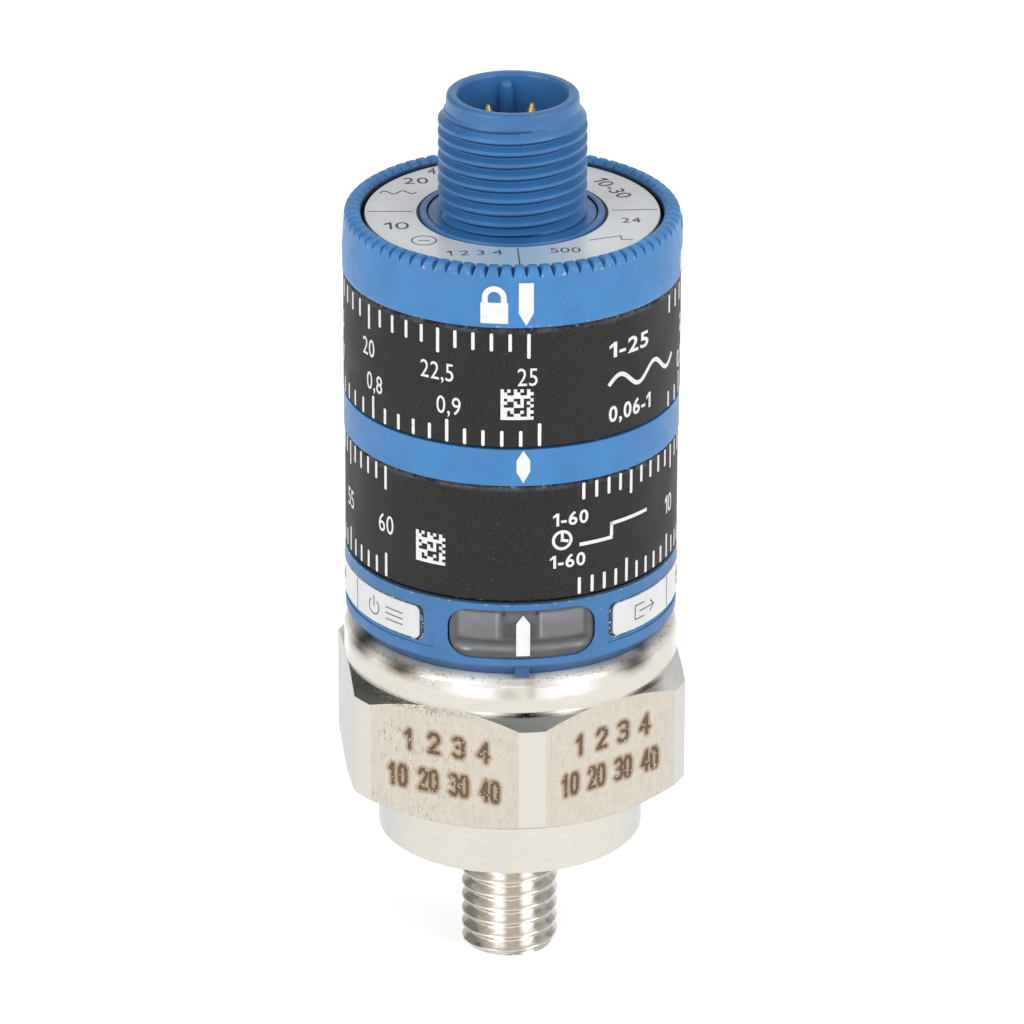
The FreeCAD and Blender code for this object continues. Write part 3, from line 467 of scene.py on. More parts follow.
def added(name, data):
    """A new object in the scene."""
    made = bpy.data.objects.new(name, data)
    bpy.context.scene.collection.objects.link(made)
    return made


def place(name, mesh, material, slot, body="sensor", stands_for=()):
    """An object of the sensor, in place, riding on a body."""
    mesh.materials.append(material)
    made = added(name, mesh)
    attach(made, body)
    if stands_for:
        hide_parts(*stands_for)
    return made


def piece(name, points, faces, *placing):
    mesh = bpy.data.meshes.new(name)
    mesh.from_pydata(points, [], faces)
    mesh.shade_smooth()
    return place(name, mesh, *placing)


def thicken(made, depth):
    """Gives a skin a back, that far under it."""
    thick = made.modifiers.new("thickness", "SOLIDIFY")
    thick.thickness, thick.offset = depth * MM, -1


class Lathe:
    """Closed rows of points round the axis, joined one to the next."""

    def __init__(self, columns):
        self.columns = columns
        self.points, self.faces = [], []
        self.first, self.last = None, None

    def join(self, low, high):
        for a in range(self.columns):
            b = (a + 1) % self.columns
            self.faces.append((low[a], low[b], high[b], high[a]))

    def follow(self, row):
        """Joins a row to the last one."""
        if self.last is not None:
            self.join(self.last, row)
        self.first = self.first or row
        self.last = row

    def row(self, radius, z):
        """A level row. Either number may be a function of the angle."""
        start = len(self.points)
        for column in range(self.columns):
            a = 360 * column / self.columns
            self.points.append(spot(radius(a) if callable(radius) else radius, a,
                                    z(a) if callable(z) else z))
        self.follow(range(start, len(self.points)))

    def profile(self, outline):
        for radius, z in outline:
            self.row(radius, z)

    def tip(self, row, z):
        """Closes a row to a point on the axis."""
        self.points.append((0, 0, z * MM))
        for a in range(self.columns):
            self.faces.append((row[a], row[(a + 1) % self.columns], len(self.points) - 1))

    def thread(self, bottom, top, pitch, profile, shape):
        """Rows along a right-hand helix. profile has (part of the pitch, radius) pairs, and shape
        gives the radius at a height from the thread's own. It is the same all round at both ends."""
        steps = len(profile)
        turns = math.ceil((top - bottom) / pitch) + 2
        rows = []
        for index in range(turns * steps + 2):
            part, radius = profile[index % steps]
            base = bottom + pitch * (index // steps + part - 1)
            start = len(self.points)
            for column in range(self.columns):
                z = min(max(base + pitch * column / self.columns, bottom), top)
                self.points.append(spot(shape(z, radius), 360 * column / self.columns, z))
            rows.append(range(start, len(self.points)))
        self.follow(rows[0])
        for i, (low, high) in enumerate(zip(rows, rows[1:])):
            self.faces += [(low[a], low[a + 1], high[a + 1], high[a]) for a in range(self.columns - 1)]
            if i + 1 + steps < len(rows):
                self.faces.append((low[-1], rows[i + steps][0], rows[i + 1 + steps][0], high[-1]))
        self.last = rows[-1]


def turned(name, shape, sharp, *placing):
    """The piece of a lathed shape. Points that lie on each other are joined, and edges are sharp from
    the given angle on."""
    made = piece(name, shape.points, shape.faces, *placing)
    work = bmesh.new()
    work.from_mesh(made.data)
    bmesh.ops.remove_doubles(work, verts=work.verts, dist=0.002 * MM)
    bmesh.ops.dissolve_degenerate(work, edges=work.edges, dist=0.001 * MM)
    bmesh.ops.recalc_face_normals(work, faces=work.faces)
    work.to_mesh(made.data)
    work.free()
    made.data.set_sharp_from_angle(angle=math.radians(sharp))
    return made


def soil(made, amount):
    """Writes painted shade as an attribute of a mesh, from a function of radius, height and angle."""
    places = np.empty(3 * len(made.data.vertices))
    made.data.vertices.foreach_get("co", places)
    x, y, z = places.reshape(-1, 3).T / MM
    painted_shade = made.data.attributes.new("painted_shade", "FLOAT", "POINT")
    share = amount(np.hypot(x, y), z, np.degrees(np.arctan2(x, -y)) % 360)
    painted_shade.data.foreach_set("value", np.clip(share, 0, 1))


# Plug: flange, M12 thread, rim and bore in one skin
DISC_TOP, THREAD_TOP, M12_PITCH, M12_CREST, M12_ROOT = 53.55, 62.45, 1, 5.95, 5.465
plug = Lathe(168)
plug.profile([(5.2, 48.4), (6.2, 48.4), (6.2, 51), (7.41, 51), (7.41, DISC_TOP), (7.36, 53.63),
              (7.28, 53.65), (6.92, 53.65), (6.86, 53.62), (6.84, 53.56), (6.84, 53.3), (6.74, 53.3),
              (6.74, 53.5), (6.7, DISC_TOP)])
plug.thread(DISC_TOP, THREAD_TOP, M12_PITCH,
            [(0, M12_CREST), (0.235, M12_CREST), (0.25, 5.943), (0.262, 5.91), (0.48, 5.49),
             (0.505, M12_ROOT), (0.68, M12_ROOT), (0.715, 5.49), (0.945, 5.9), (0.96, 5.94),
             (0.98, M12_CREST)],
            lambda z, r: min(r, 5.34 + 0.75 * (THREAD_TOP - z), M12_ROOT + 8 * max(0, z - DISC_TOP)))
plug.profile([(5.32, 62.47), (5.3, 62.55), (5.3, 63.3), (5.27, 63.48), (5.17, 63.6), (5.02, 63.65),
              (4.62, 63.65), (4.5, 63.61), (4.43, 63.52), (4.4, 63.35), (4.4, 60), (4.4, 49.65),
              (5.2, 49.65)])
plug.join(plug.last, plug.first)


def plug_grime(r, z, angle):
    """Painted shade in the groove of the disc and, thinner, under the crests of the thread."""
    groove = (r > 6.73) & (r < 6.85) & (z > 53.2) & (z < 53.57)
    phase = (z - DISC_TOP - angle / 360) % M12_PITCH
    under = (phase > 0.6) & (phase < 0.93) & (r > 5.4) & (r < 5.94) & (z > 53.9) & (z < 62.3)
    return np.maximum(groove, under * 0.72)


soil(turned("plug_shell", plug, 38, plug_blue, "blue_plastic", "sensor", ["connector_body"]), plug_grime)

# Key: the rounded rib in the plug's bore, a little lumpy and domed at its top
KEY_R, KEY_ANGLE = 4.28, 183
key = Lathe(24)
for index, (radius, z) in enumerate([(0.6, 54.5), (0.61, 56.5), (0.6, 58.5), (0.62, 60.2), (0.6, 61.5),
                                     (0.61, 62.2), (0.58, 62.6), (0.5, 62.9), (0.34, 63.08), (0.12, 63.15)]):
    key.row(lambda angle: radius * (1 + 0.05 * math.sin(math.radians(3 * angle + 70 * index))), z)
key.faces += [tuple(key.last), tuple(reversed(key.first))]
key.points = [Vector(point) + Vector(spot(KEY_R, KEY_ANGLE, 0)) for point in key.points]
turned("plug_key_rib", key, 60, plug_blue, "blue_plastic")

# Stud: M8 thread with a chamfered end and a hexagon socket
STUD_TOP, M8_PITCH, M8_ROOT, SOCKET_FLAT = -0.02, 1.25, 3.27, 2


def socket(angle):
    """The distance from the axis to the socket's wall."""
    off = (angle + 30) % 60 - 30
    return SOCKET_FLAT / math.cos(math.radians(30 - abs(off)))


def stud_radius(z, r):
    """The thread's radius r, held to a chamfer and a core at the free end and to a cone at the top."""
    up = z - STUD_END
    return min(max(r, 3.62 - 0.75 * up), 3.56 + 0.9 * up, M8_ROOT + 2 * (STUD_TOP - z))


stud = Lathe(144)
stud.profile([(0.6, -6.35), (socket, -7.1), (socket, -10.85), (2.42, -11.08), (2.5, STUD_END),
              (3.5, STUD_END)])
stud.thread(STUD_END, STUD_TOP, M8_PITCH,
            [(0, M8_ROOT), (0.05, 3.275), (0.1, 3.32), (0.26, 3.6), (0.42, 3.9), (0.455, 3.945),
             (0.5, 3.955), (0.545, 3.945), (0.58, 3.9), (0.74, 3.6), (0.9, 3.32), (0.95, 3.275)],
            stud_radius)
stud.profile([(3.25, 0), (3.25, 8.6), (2.8, 8.9)])
stud.tip(stud.last, 8.9)
stud.tip(stud.first, -6.1)
turned("stud_thread", stud, 50, stud_steel, "stud_steel", "sensor", ["mounting_stud"])

# Locking ring: V-shaped grips across a crowned top, with floors that rise inwards
GRIPS, GRIP_TURN, GRIP_COLUMNS, GRIP_HALF_ANGLE, GRIP_BLEND = 78, 0.9, 20, 18, 0.09
LOCK_TOP, LOCK_FOOT, LOCK_MOUTH, LOCK_WALL, LOCK_BORE = 54, 49, 12.1, 13.45, 10.58
CROWN_HEIGHT, CROWN_STEPS, OUTER_DEPTH, INNER_DEPTH = 0.65, 20, 0.87, 0.5
CROWN_MIDDLE, CROWN_HALF = (LOCK_WALL + LOCK_MOUTH) / 2, (LOCK_WALL - LOCK_MOUTH) / 2


def smooth_min(a, b, reach):
    h = min(max(0.5 + 0.5 * (b - a) / reach, 0), 1)
    return b + (a - b) * h - reach * h * (1 - h)


def grip_height(radius, z):
    """The height of a point of the ring's outline once the grips are cut, by angle."""
    rise = math.sin(math.radians(180 / GRIPS)) / math.tan(math.radians(GRIP_HALF_ANGLE)) * radius
    inward = (LOCK_WALL - radius) / (LOCK_WALL - LOCK_MOUTH)
    floor_z = LOCK_TOP - OUTER_DEPTH + (OUTER_DEPTH - INNER_DEPTH) * inward

    def height(angle):
        wave = abs(((angle - GRIP_TURN) * GRIPS / 360 + 0.5) % 1 - 0.5) * 2
        return smooth_min(z, floor_z + wave * rise, GRIP_BLEND)
    return height


def crown_point(part):
    """A point of the crown from outside (0) to inside (1)."""
    out, up = math.cos(math.pi * part), math.sin(math.pi * part)
    return (CROWN_MIDDLE + CROWN_HALF * math.copysign(abs(out) ** 0.85, out),
            LOCK_TOP - CROWN_HEIGHT * (1 - up ** 0.85))


def ring_grime(r, z, angle):
    """Painted shade on the wall of the ring's mouth and, more at the back, at the bottom of its grips."""
    across = np.clip(np.abs(r - CROWN_MIDDLE) / CROWN_HALF, 0, 1)
    sunk = LOCK_TOP - CROWN_HEIGHT * (1 - (1 - across ** 2.35) ** 0.42) - z
    wall = np.clip((12.22 - r) / 0.1, 0, 1)
    grips = np.clip((sunk - 0.1) / 0.45, 0, 1) * np.clip((LOCK_WALL - r) / 1.2, 0, 1)
    behind = np.clip((np.abs(180 - angle) - 110) / -40, 0, 1)
    return np.maximum(wall * 0.72, grips * (0.28 + 0.34 * behind)) * (z > 52.5)


lock = Lathe(GRIPS * GRIP_COLUMNS)
lock.profile([(LOCK_BORE, 51.9), (LOCK_BORE, LOCK_FOOT), (13.52, LOCK_FOOT), (13.572, 49.015),
              (LOCK_R, 49.06), (LOCK_R, 49.3), (LOCK_R, 50), (LOCK_R, 50.9), (13.56, 51.7),
              (13.51, 52.5), (13.49, 52.8)])
outer_rows = [(13.475, 53), (13.465, 53.08), (13.46, 53.16), (13.455, 53.24), (13.452, 53.3)]
crown_rows = [crown_point(step / CROWN_STEPS) for step in range(CROWN_STEPS + 1)]
inner_rows = [(LOCK_MOUTH, z) for z in (53.28, 53.2, 53.12, 53.04)]
for radius, z in outer_rows + crown_rows + inner_rows:
    lock.row(radius, grip_height(radius, z))
lock.profile([(LOCK_MOUTH, 52.8), (LOCK_MOUTH, 51.9)])
lock.join(lock.last, lock.first)
soil(turned("lock_ring_grips", lock, 50, ring_blue, "light_blue_plastic", "locking", ["lock_ring"]),
     ring_grime)


# Prints and thin plates

def letter_mesh(letter, weight):
    """A flat mesh of one numeral, with its height at size 1."""
    curve = bpy.data.curves.new("numeral", "FONT")
    curve.body, curve.offset, curve.resolution_u = letter, weight, 4
    holder = added("numeral", curve)
    graph = bpy.context.evaluated_depsgraph_get()
    mesh = bpy.data.meshes.new_from_object(holder.evaluated_get(graph))
    corners = [(v.co.x, v.co.y) for v in mesh.vertices]
    faces = [tuple(p.vertices) for p in mesh.polygons]
    bpy.data.objects.remove(holder)
    bpy.data.meshes.remove(mesh)
    return corners, faces


ZERO = [y for x, y in letter_mesh("0", 0)[0]]
CAP_HEIGHT = max(ZERO) - min(ZERO)
LETTER_GAP, SPACE, STEM, ONE_FLAG = 0.1, 0.26, 0.095, 0.17


def numeral_mesh(words, weight):
    """A flat mesh of plain numerals in a row. The figure one has a flag."""
    corners, faces, left = [], [], 0
    for letter in words:
        if letter == " ":
            left += SPACE
            continue
        if letter == "1":
            stem = STEM + 2 * weight
            flag = CAP_HEIGHT * 0.74
            shape = [(ONE_FLAG, 0), (ONE_FLAG + stem, 0), (ONE_FLAG + stem, CAP_HEIGHT),
                     (ONE_FLAG + 0.01, CAP_HEIGHT), (0, flag + 0.04), (0, flag - stem * 0.7),
                     (ONE_FLAG, flag + 0.02)]
            parts = [(0, 1, 6), (6, 1, 2), (6, 2, 3), (6, 3, 4), (6, 4, 5)]
        else:
            shape, parts = letter_mesh(letter, weight)
        low = min(x for x, y in shape)
        start = len(corners)
        corners += [(left + x - low, y) for x, y in shape]
        faces += [tuple(start + i for i in part) for part in parts]
        left += max(x for x, y in shape) - low + LETTER_GAP
    return corners, faces


class Print:
    """Flat shapes that are laid on a ring or a face. Across is along the ring, in millimetres."""

    STRIP = 0.7  # what is laid on a ring is bent in strips of this width

    def __init__(self, radius=None, level=None):
        self.radius, self.level = radius, level
        self.work = bmesh.new()

    def across(self, angle):
        return math.radians(angle) * self.radius

    def polygon(self, corners):
        self.work.faces.new([self.work.verts.new((x, y, 0)) for x, y in corners])

    def bar(self, x, y, width, height):
        """A bar whose centre is at x, y."""
        a, b = width / 2, height / 2
        self.polygon([(x - a, y - b), (x + a, y - b), (x + a, y + b), (x - a, y + b)])

    def tick(self, angle, bottom, top, width=0.27):
        """A mark with rounded ends."""
        x, half, cut = self.across(angle), width / 2, width / 4
        self.polygon([(x - half + cut, bottom), (x + half - cut, bottom), (x + half, bottom + cut),
                      (x + half, top - cut), (x + half - cut, top), (x - half + cut, top),
                      (x - half, top - cut), (x - half, bottom + cut)])

    def text(self, words, x, y, height, weight=0, turn=0, width=None):
        """Plain numerals centred at x, y."""
        corners, faces = numeral_mesh(words, weight)
        xs = [c[0] for c in corners]
        scale = height / CAP_HEIGHT
        wide = width / (max(xs) - min(xs)) if width else scale * 0.8
        middle = (max(xs) + min(xs)) / 2
        c, s = math.cos(math.radians(turn)), math.sin(math.radians(turn))
        made = []
        for px, py in corners:
            u, v = (px - middle) * wide, (py - CAP_HEIGHT / 2) * scale
            made.append(self.work.verts.new((x + c * u - s * v, y + s * u + c * v, 0)))
        for face in faces:
            self.work.faces.new([made[i] for i in face])

    def stroke(self, points, width):
        """A line of even width through the points."""
        for (x0, y0), (x1, y1) in zip(points, points[1:]):
            length = math.hypot(x1 - x0, y1 - y0)
            if length < 1e-6:
                continue
            dx, dy = (x1 - x0) / length * width / 2, (y1 - y0) / length * width / 2
            self.polygon([(x0 - dx + dy, y0 - dy - dx), (x1 + dx + dy, y1 + dy - dx),
                          (x1 + dx - dy, y1 + dy + dx), (x0 - dx - dy, y0 - dy + dx)])

    def arc(self, x, y, outer, inner, start=0, sweep=360, steps=32, tall=1):
        """A part of a ring."""
        for step in range(steps):
            a, b = (math.radians(start + sweep * (step + end) / steps) for end in (0, 1))
            self.polygon([(x + r * math.cos(t), y + tall * r * math.sin(t))
                          for r, t in ((inner, a), (outer, a), (outer, b), (inner, b))])

    def code(self, x, y, size, count=10):
        """A square of small squares in a made-up pattern, with two whole sides."""
        step, last = size / count, count - 1
        for row in range(count):
            for column in range(count):
                edge = row == 0 or column == 0
                rail = (row == last and column % 2 == 0) or (column == last and row % 2 == 0)
                inside = (row * row * 3 + column * 7 + row * column * 5) % 7 < 3
                if edge or rail or (inside and row < last and column < last):
                    self.bar(x - size / 2 + step * (column + 0.5), y - size / 2 + step * (row + 0.5),
                             step * 1.02, step * 1.02)

    def lay(self, name, material, slot, body="sensor", lift=0.02, depth=0.04, stands_for=()):
        """Lays the shapes in place as a thin piece."""
        work = self.work
        bmesh.ops.triangulate(work, faces=work.faces)
        if self.radius:
            xs = [v.co.x / self.STRIP for v in work.verts]
            for cut in range(math.ceil(min(xs)), math.floor(max(xs)) + 1):
                bmesh.ops.bisect_plane(work, geom=work.verts[:] + work.edges[:] + work.faces[:], dist=1e-5,
                                       plane_co=(cut * self.STRIP, 0, 0), plane_no=(1, 0, 0))
        bmesh.ops.remove_doubles(work, verts=work.verts, dist=1e-4)
        for face in work.faces:
            face.normal_update()
            if face.normal.z < 0:
                face.normal_flip()
        for vert in work.verts:
            x, y = vert.co.x, vert.co.y
            if self.radius:
                vert.co = spot(self.radius + lift, math.degrees(x / self.radius), y)
            else:
                vert.co = (x * MM, y * MM, (self.level + lift) * MM)
        mesh = bpy.data.meshes.new(name)
        work.to_mesh(mesh)
        work.free()
        thicken(place(name, mesh, material, slot, body, stands_for), depth)


def scale_angle(value, knots):
    """The angle of a value on a scale, from the marks whose angles are known."""
    return float(np.interp(value, *zip(*knots)))


def wave_sign(ink_print, left, right, middle, height, width, steps=48):
    """Two turns of a sine wave between two ends."""
    line = [(left + (right - left) * i / steps, middle + height / 2 * math.sin(4 * math.pi * i / steps))
            for i in range(steps + 1)]
    ink_print.stroke(line, width)


# Level ring: two scales, plain signs and a square code
LEVEL_TOP_KNOTS = ((1, 63.33), (20, 299.2), (22.5, 330.4), (25, 361.66))
LEVEL_LOW_KNOTS = ((0.06, 63.41), (0.8, 301.6), (0.9, 333.75), (1, 365.38))
level = Print(LEVEL_R)
for half in range(2, 51):
    level.tick(scale_angle(half / 2, LEVEL_TOP_KNOTS), 47 if half % 5 else 46.4, 48.5)
for step in range(3, 51):
    level.tick(scale_angle(step / 50, LEVEL_LOW_KNOTS), 38.9, 40.24 if step % 5 else 40.84)
for fifth in range(1, 11):
    number = f"{fifth * 2.5:g}".replace(".", ",")
    level.text(number, level.across(scale_angle(fifth * 2.5, LEVEL_TOP_KNOTS) - 0.4), 44.84, 1.5)
for tenth in range(1, 10):
    level.text(f"0,{tenth}", level.across(scale_angle(tenth / 10, LEVEL_LOW_KNOTS) + 0.6), 42.04, 1.5)
level.code(level.across(-2.2), 42.5, 2.6)
level.text("1-25", level.across(39.8), 46.1, 1.3, width=4.3, weight=0.02)
wave_sign(level, level.across(31), level.across(65.6), 43.25, 1.25, 0.34)
level.text("0,06-1", level.across(40.6), 40.65, 1.3, width=4.7, weight=0.02)
level.lay("level_ring_print", white_ink, "label_white", "level_setting")

# Delay ring: two scales with one row of numbers, plain signs and a square code
DELAY_TOP_KNOTS = ((1, 21.3), (5, 41.2), (10, 67.3), (12, 77.6), (53, 272.1), (60, 307.81))
DELAY_LOW_KNOTS = ((1, 19.92), (5, 39.4), (10, 64.4), (12, 74.5), (53, 272.3), (60, 308))
delay = Print(DELAY_R)
for second in range(1, 61):
    length = 1.45 if second % 5 else 2.05
    delay.tick(scale_angle(second, DELAY_TOP_KNOTS), 35.25 - length, 35.25)
    delay.tick(scale_angle(second, DELAY_LOW_KNOTS), 25.65, 25.65 + length)
for second in range(10, 61, 5):
    middle = (scale_angle(second, DELAY_TOP_KNOTS) + scale_angle(second, DELAY_LOW_KNOTS)) / 2
    delay.text(str(second), delay.across(middle), 30.26, 1.6)
delay.code(delay.across(-32.6), 29.4, 2.65)
delay.text("1-60", delay.across(16.7), 32.35, 1.1, width=3, weight=0.02)
x = delay.across(13.6)
delay.arc(x, 30.55, 0.86, 0.62)
delay.stroke([(x, 31.0832), (x, 30.55), (x + 0.387, 30.4468)], 0.24)
delay.stroke([(delay.across(angle), z) for angle, z in
              ((20.5, 29.95), (32.5, 29.95), (32.5, 31.15), (49, 31.15))], 0.3)
delay.text("1-60", delay.across(15.7), 28.7, 1.1, width=3, weight=0.02)
delay.lay("delay_ring_print", white_ink, "label_white", "delay_setting")


def padlock(ink_print, angle, is_open):
    """A padlock sign whose body's middle is at an angle."""
    x = ink_print.across(angle)
    ink_print.bar(x, 50.27, 2.18, 1.74)
    outer, inner = 0.98, 0.52
    middle = x + 1.45 if is_open else x
    for side in (-1,) if is_open else (-1, 1):
        ink_print.bar(middle + side * (outer + inner) / 2, 51.36, outer - inner, 0.44)
    ink_print.arc(middle, 51.55, outer, inner, 0, 180, 24, tall=1.02)


# Locking ring: closed and open padlock and a pointer
lock_print = Print(LOCK_R)
padlock(lock_print, -9.9, False)
padlock(lock_print, 80.5, True)
for angle in (0.7, 90.7):
    x = lock_print.across(angle)
    lock_print.polygon([(x + across, z) for across, z in ((-0.59, 52.82), (-0.59, 50.26), (0, 49.22),
                                                          (0.59, 50.26), (0.59, 52.82))])
lock_print.lay("lock_ring_print", ring_ink, "label_white", "locking")

# Fixed pointer ring: a hexagon pointer
pointer = Print(POINTER_R)
pointer.polygon([(-0.54, 36.72), (0, 35.74), (0.54, 36.72), (0.54, 37.69), (0, 38.54), (-0.54, 37.69)])
pointer.lay("pointer_ring_print", ring_ink, "label_white")


# Window: pane, the pointer on it and, behind it, a sheet painted with the light guides' light and shade
def rounded_outline(half_width, low, high, corner):
    """The corners of a rounded rectangle about x = 0."""
    x, top, foot = half_width - corner, high - corner, low + corner
    return [(cx + corner * math.cos(math.radians(start + 90 * step / 8)),
             cy + corner * math.sin(math.radians(start + 90 * step / 8)))
            for cx, cy, start in ((x, top, 0), (-x, top, 90), (-x, foot, 180), (x, foot, 270))
            for step in range(9)]


pane = Print(WINDOW_R)
pane.polygon(rounded_outline(6, 20.43, 24.57, 1.66))
pane.lay("window_pane", smoky, "smoked_clear", lift=0, depth=0.1, stands_for=["indicator_window"])
# A sheet painted with the light and shade of what lies behind the pane.
backing = Print(WINDOW_R - 0.15)
backing.polygon(rounded_outline(5.92, 20.43, 24.57, 1.6))
backing.lay("window_depth_sheet", window_depth_paint, "smoked_clear", lift=0, depth=0.4)
arrow = Print(WINDOW_R)
arrow.polygon([(-0.5, 20.66), (0.61, 20.66), (0.61, 23.46), (0.055, 24.2), (-0.5, 23.46)])
arrow.lay("window_print", white_ink, "label_white", lift=0.025, depth=0.05)

# Label band: thin signs and dividers
band = Print(BAND_R)
for angle in (-70.2, 64.7, 106, -112):
    band.tick(angle, 21.25, 23.95, 0.1)
for angle in (-53.5, 85):
    x = band.across(angle)
    band.arc(x - 1.2, 22.5, 0.72, 0.61, 125, 290, 28)
    band.stroke([(x - 1.2, 22.52), (x - 1.2, 23.4)], 0.11)
    for line in (22, 22.5, 23):
        band.stroke([(x + 0.4, line), (x + 2.2, line)], 0.11)
for angle in (49.2, -91):
    x = band.across(angle)
    band.stroke([(x - 0.2, 23.15), (x - 1.3, 23.15), (x - 1.3, 21.95), (x - 0.2, 21.95)], 0.11)
    band.stroke([(x - 0.7, 22.55), (x + 1.2, 22.55)], 0.11)
    band.stroke([(x + 0.7, 23), (x + 1.2, 22.55), (x + 0.7, 22.1)], 0.11)
band.lay("label_band_print", thin_ink, "label_white", lift=0.012, depth=0.03)


def end_outline(x, side, low, high, corner, reach, steps=6):
    """The outline of a label's free end, whose other end is at reach on the given side."""
    outline = [(x + side * reach, high)]
    for middle, first in ((high - corner, 0), (low + corner, 1)):
        for step in range(steps + 1):
            turn = math.pi / 2 * (first + step / steps)
            outline.append((x + side * (corner - corner * math.sin(turn)), middle + corner * math.cos(turn)))
    return outline + [(x + side * reach, low)]


# A dark strip round the label band, wider at its ends than along its sides: painted shade in the gap
# round the label, partly a glue seam, with bright flecks as painted highlights
SEAM_R = SKIRT_R - 0.1
HALF_BAND = math.radians(144.8) * SEAM_R
seam = Print(SEAM_R)
for angle, side in ((-36.9, -1), (33.5, 1)):
    seam.stroke(end_outline(seam.across(angle), side, 21.13, 24.07, 0.56, HALF_BAND), 0.15)
    seam.stroke(end_outline(seam.across(angle) - side * 0.24, side, 21.1, 24.08, 0.66, 1.6), 0.17)
seam.lay("label_band_gap_shade", label_gap_paint, "black_plastic", lift=0.02, depth=0.03)

# Top label: dividers, plain numbers and simple signs
cover = Print(level=LABEL_Z)
for angle in (-1, -93.7, 89, 151):
    turn = math.radians(angle)
    cover.stroke([(r * math.sin(turn), -r * math.cos(turn)) for r in (8, 11.5)], 0.1)
cover.text("10", -9.4, -2.5, 1.45, width=2, weight=-0.008)
cover.arc(-7.4, -5.8, 1.03, 0.92)
cover.stroke([(-7.8, -5.8), (-7, -5.8)], 0.1)
cover.text("1 2 3 4", -3.6, -8.65, 1, width=4.4, weight=-0.008)
cover.text("500", 3.6, -8.5, 1.05, width=2.4, weight=-0.008)
cover.text("24", 9.3, -2.4, 1, width=1.5)
cover.stroke([(5.7, -6.5), (8.2, -5.7), (8.2, -6.5), (9.1, -6.5)], 0.1)
cover.text("20", -7.3, 7.25, 1.3, width=2)
wave_sign(cover, -10.3, -7.4, 4.75, 0.7, 0.1)
cover.text("4", -5.9, 9.3, 1.3)
cover.text("10-30", 8.4, 4.75, 1.3, turn=-65, width=4.6)
cover.lay("top_label_print", dark_ink, "label_grey", lift=0.012, depth=0.03)

# Hexagon: laser marks of plain numbers
DIGITS = {
    "0": [[(0.15, 0), (0.45, 0), (0.6, 0.2), (0.6, 0.8), (0.45, 1), (0.15, 1), (0, 0.8), (0, 0.2),
           (0.15, 0)]],
    "1": [[(0.1, 0.76), (0.34, 1), (0.34, 0)]],
    "2": [[(0, 0.8), (0.14, 1), (0.46, 1), (0.6, 0.84), (0.6, 0.64), (0, 0), (0.6, 0)]],
    "3": [[(0, 0.9), (0.15, 1), (0.45, 1), (0.6, 0.84), (0.6, 0.66), (0.42, 0.53), (0.22, 0.53)],
          [(0.42, 0.53), (0.6, 0.4), (0.6, 0.16), (0.45, 0), (0.15, 0), (0, 0.1)]],
    "4": [[(0.46, 0), (0.46, 1), (0, 0.3), (0.62, 0.3)]],
}


def marks(words, centre, base, height, pitch, width):
    """The lines of plain numbers, as segments across a face. Width is a share of the pitch."""
    segments = []
    for index, letter in enumerate(words):
        left = centre + pitch * (index - len(words) / 2) + 0.1
        for line in DIGITS.get(letter, []):
            points = [(left + x * pitch * width, base + y * height) for x, y in line]
            segments += zip(points, points[1:])
    return segments


def etched_plate(name, normal_angle, upper, lower, grid=0.08):
    """A thin skin of the same steel on a side of the hexagon, with two rows of marks at the given
    heights. Its points know how far the marks are."""
    across, heights = np.arange(-6, 6.001, grid), np.arange(7.6, 14.8, grid)
    u, z = np.meshgrid(across, heights)
    away = np.full(u.shape, 9)
    for (x0, y0), (x1, y1) in (marks("1 2 3 4", 0.2, upper, 1.6, 1.09, 1.25)
                               + marks("10 20 30 40", 0, lower, 1.7, 0.9, 1.05)):
        dx, dy = x1 - x0, y1 - y0
        part = np.clip(((u - x0) * dx + (z - y0) * dy) / (dx * dx + dy * dy), 0, 1)
        away = np.minimum(away, np.hypot(u - x0 - part * dx, z - y0 - part * dy))
    turn = math.radians(normal_angle)
    out, side = Vector((math.sin(turn), -math.cos(turn), 0)), Vector((math.cos(turn), math.sin(turn), 0))
    points = [(out * (HEX_FLAT + 0.01) + side * a + Vector((0, 0, b))) * MM
              for a, b in zip(u.ravel(), z.ravel())]
    wide = len(across)
    faces = [(r * wide + c, r * wide + c + 1, (r + 1) * wide + c + 1, (r + 1) * wide + c)
             for r in range(len(heights) - 1) for c in range(wide - 1)]
    made = piece(name, points, faces, steel_etched, "steel")
    made.data.shade_flat()
    made.data.attributes.new("mark_distance", "FLOAT", "POINT").data.foreach_set("value", away.ravel())
    thicken(made, 0.03)


etched_plate("hexagon_marks_left", -27.1, 11.5, 8.1)
etched_plate("hexagon_marks_right", 32.9, 11.7, 8.4)


# Stage, light and camera

AIM = Vector((0, 0, 27.3626 * MM))
HORIZON_LEVEL, ZENITH_LEVEL = 0.84, 0.82
FLOOR_R, FLOOR_GLOW = 3, 0.46
# azimuth, elevation, radius of the dark middle, radius of its edge, how much is taken off
DARK_PATCHES = ((180, 83, 9, 17, 0.85), (-138, 38, 22, 32, 0.95), (138, 36, 10, 20, 0.6), (2, 44, 8, 20, 0.5))
CAMERA_AZIMUTH, CAMERA_ELEVATION, CAMERA_ROLL, CAMERA_DISTANCE = -4.05, 23.644, 0.242, 629.9085


def direction(azimuth, elevation):
    """A direction from the object, with azimuth as the camera's."""
    a, e = math.radians(azimuth), math.radians(elevation)
    return Vector((math.sin(a) * math.cos(e), -math.cos(a) * math.cos(e), math.sin(e)))


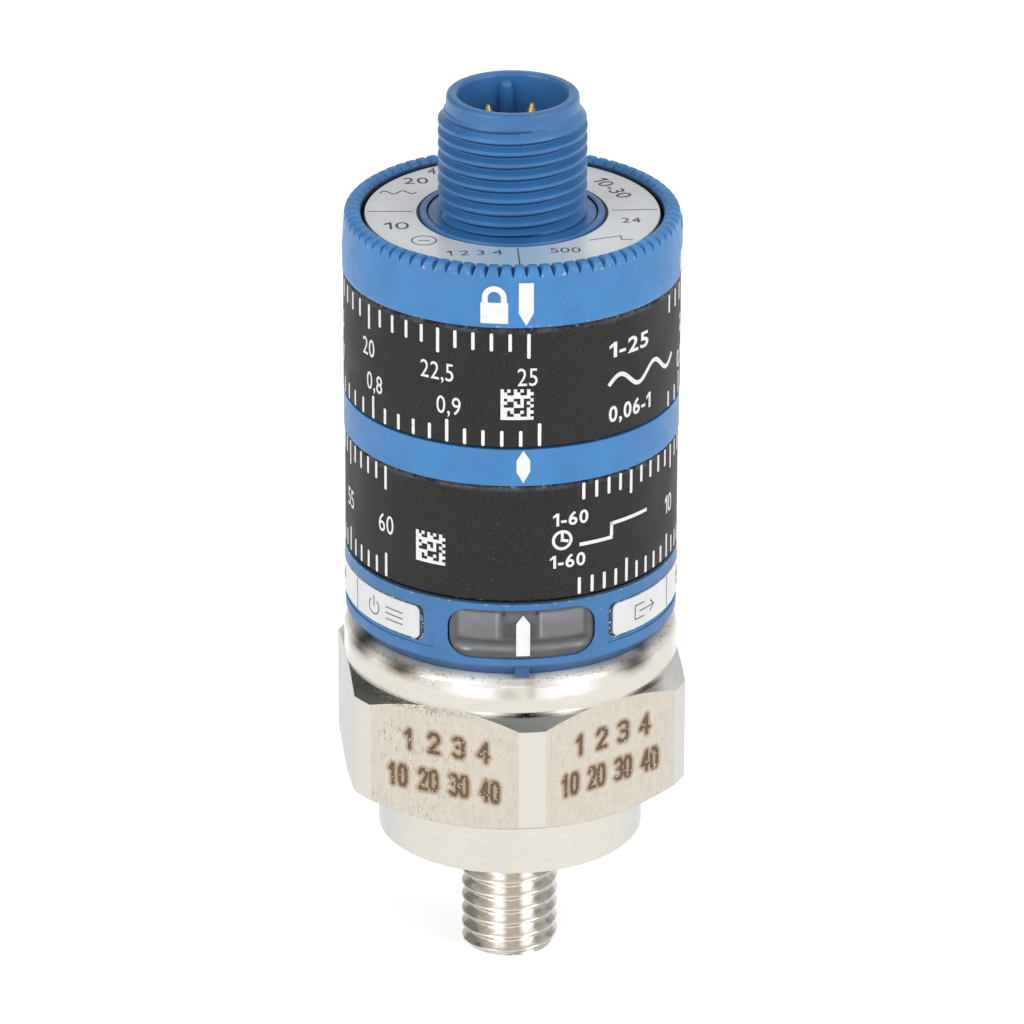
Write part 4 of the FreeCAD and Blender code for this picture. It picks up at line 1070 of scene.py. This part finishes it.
def aimed(name, data, azimuth, elevation, distance, roll=0):
    """A lamp or camera that looks at the object's middle from a distance in millimetres."""
    made = added(name, data)
    back = direction(azimuth, elevation)
    made.location = AIM + back * distance * MM
    made.rotation_mode = "QUATERNION"
    turn = Quaternion((0, 0, 1), math.radians(roll))
    made.rotation_quaternion = back.to_track_quat("Z", "Y") @ turn
    return made


def softbox(name, azimuth, elevation, distance, width, height, power):
    light = bpy.data.lights.new(name, "AREA")
    light.shape, light.size, light.size_y, light.energy = "RECTANGLE", width, height, power
    aimed(name, light, azimuth, elevation, distance)


def world_light():
    """A pale studio: white behind the object for the camera, with darker patches overhead in the gloss."""
    world = bpy.data.worlds.new("studio")
    bpy.context.scene.world = world
    g = Graph(world)
    coords = g.node("TexCoord").outputs["Generated"]
    height = g.node("SeparateXYZ", coords).outputs["Z"]
    level = g.node("MapRange", height, 0, 0.85, HORIZON_LEVEL, ZENITH_LEVEL).outputs[0]
    for azimuth, elevation, full, edge, drop in DARK_PATCHES:
        dot = g.node("VectorMath", coords, direction(azimuth, elevation), operation="DOT_PRODUCT")
        level = g.product(level, g.map(dot.outputs["Value"], math.cos(math.radians(edge)),
                                       math.cos(math.radians(full)), 1, 1 - drop))
    grey = g.node("Background", (1, 0.985, 0.965), level).outputs[0]
    white = g.node("Background", (1, 1, 1)).outputs[0]
    for_camera = g.node("LightPath").outputs["Is Camera Ray"]
    g.node("OutputWorld", g.node("MixShader", for_camera, grey, white).outputs[0])


def floor():
    """A plain pale floor that shows white and keeps the object's shadow."""
    g = Graph(bpy.data.materials.new("floor"))
    rays = g.node("LightPath").outputs
    mirrored = g.math("MAXIMUM", rays["Is Glossy Ray"], rays["Is Transmission Ray"])
    seen = g.math("MAXIMUM", rays["Is Camera Ray"], mirrored)
    glow = g.node("Emission", Strength=g.product(seen, FLOOR_GLOW)).outputs[0]
    matte = g.node("BsdfDiffuse", (0.86, 0.86, 0.86)).outputs[0]
    g.node("OutputMaterial", g.node("AddShader", matte, glow).outputs[0])
    mesh = bpy.data.meshes.new("floor")
    turns = [math.radians(t) for t in range(0, 360, 10)]
    corners = [(FLOOR_R * math.cos(t), FLOOR_R * math.sin(t), STUD_END * MM) for t in turns]
    mesh.from_pydata(corners, [], [tuple(range(len(corners)))])
    mesh.materials.append(g.owner)
    added("floor", mesh)


world_light()
floor()
softbox("key_left", -52, 22, 900, 0.5, 0.6, 2)
softbox("key_right", 50, 22, 900, 0.45, 0.6, 1.85)
softbox("front", 0, 12, 1200, 0.5, 0.3, 0.4)

lens = bpy.data.cameras.new("camera")
lens.sensor_width, lens.lens, lens.shift_x = 36, 273.16, 0.00088
lens.clip_start, lens.clip_end = 0.05, 20
bpy.context.scene.camera = aimed("camera", lens, CAMERA_AZIMUTH, CAMERA_ELEVATION, CAMERA_DISTANCE,
                                 CAMERA_ROLL)

bpy.context.scene.view_settings.view_transform = "Standard"
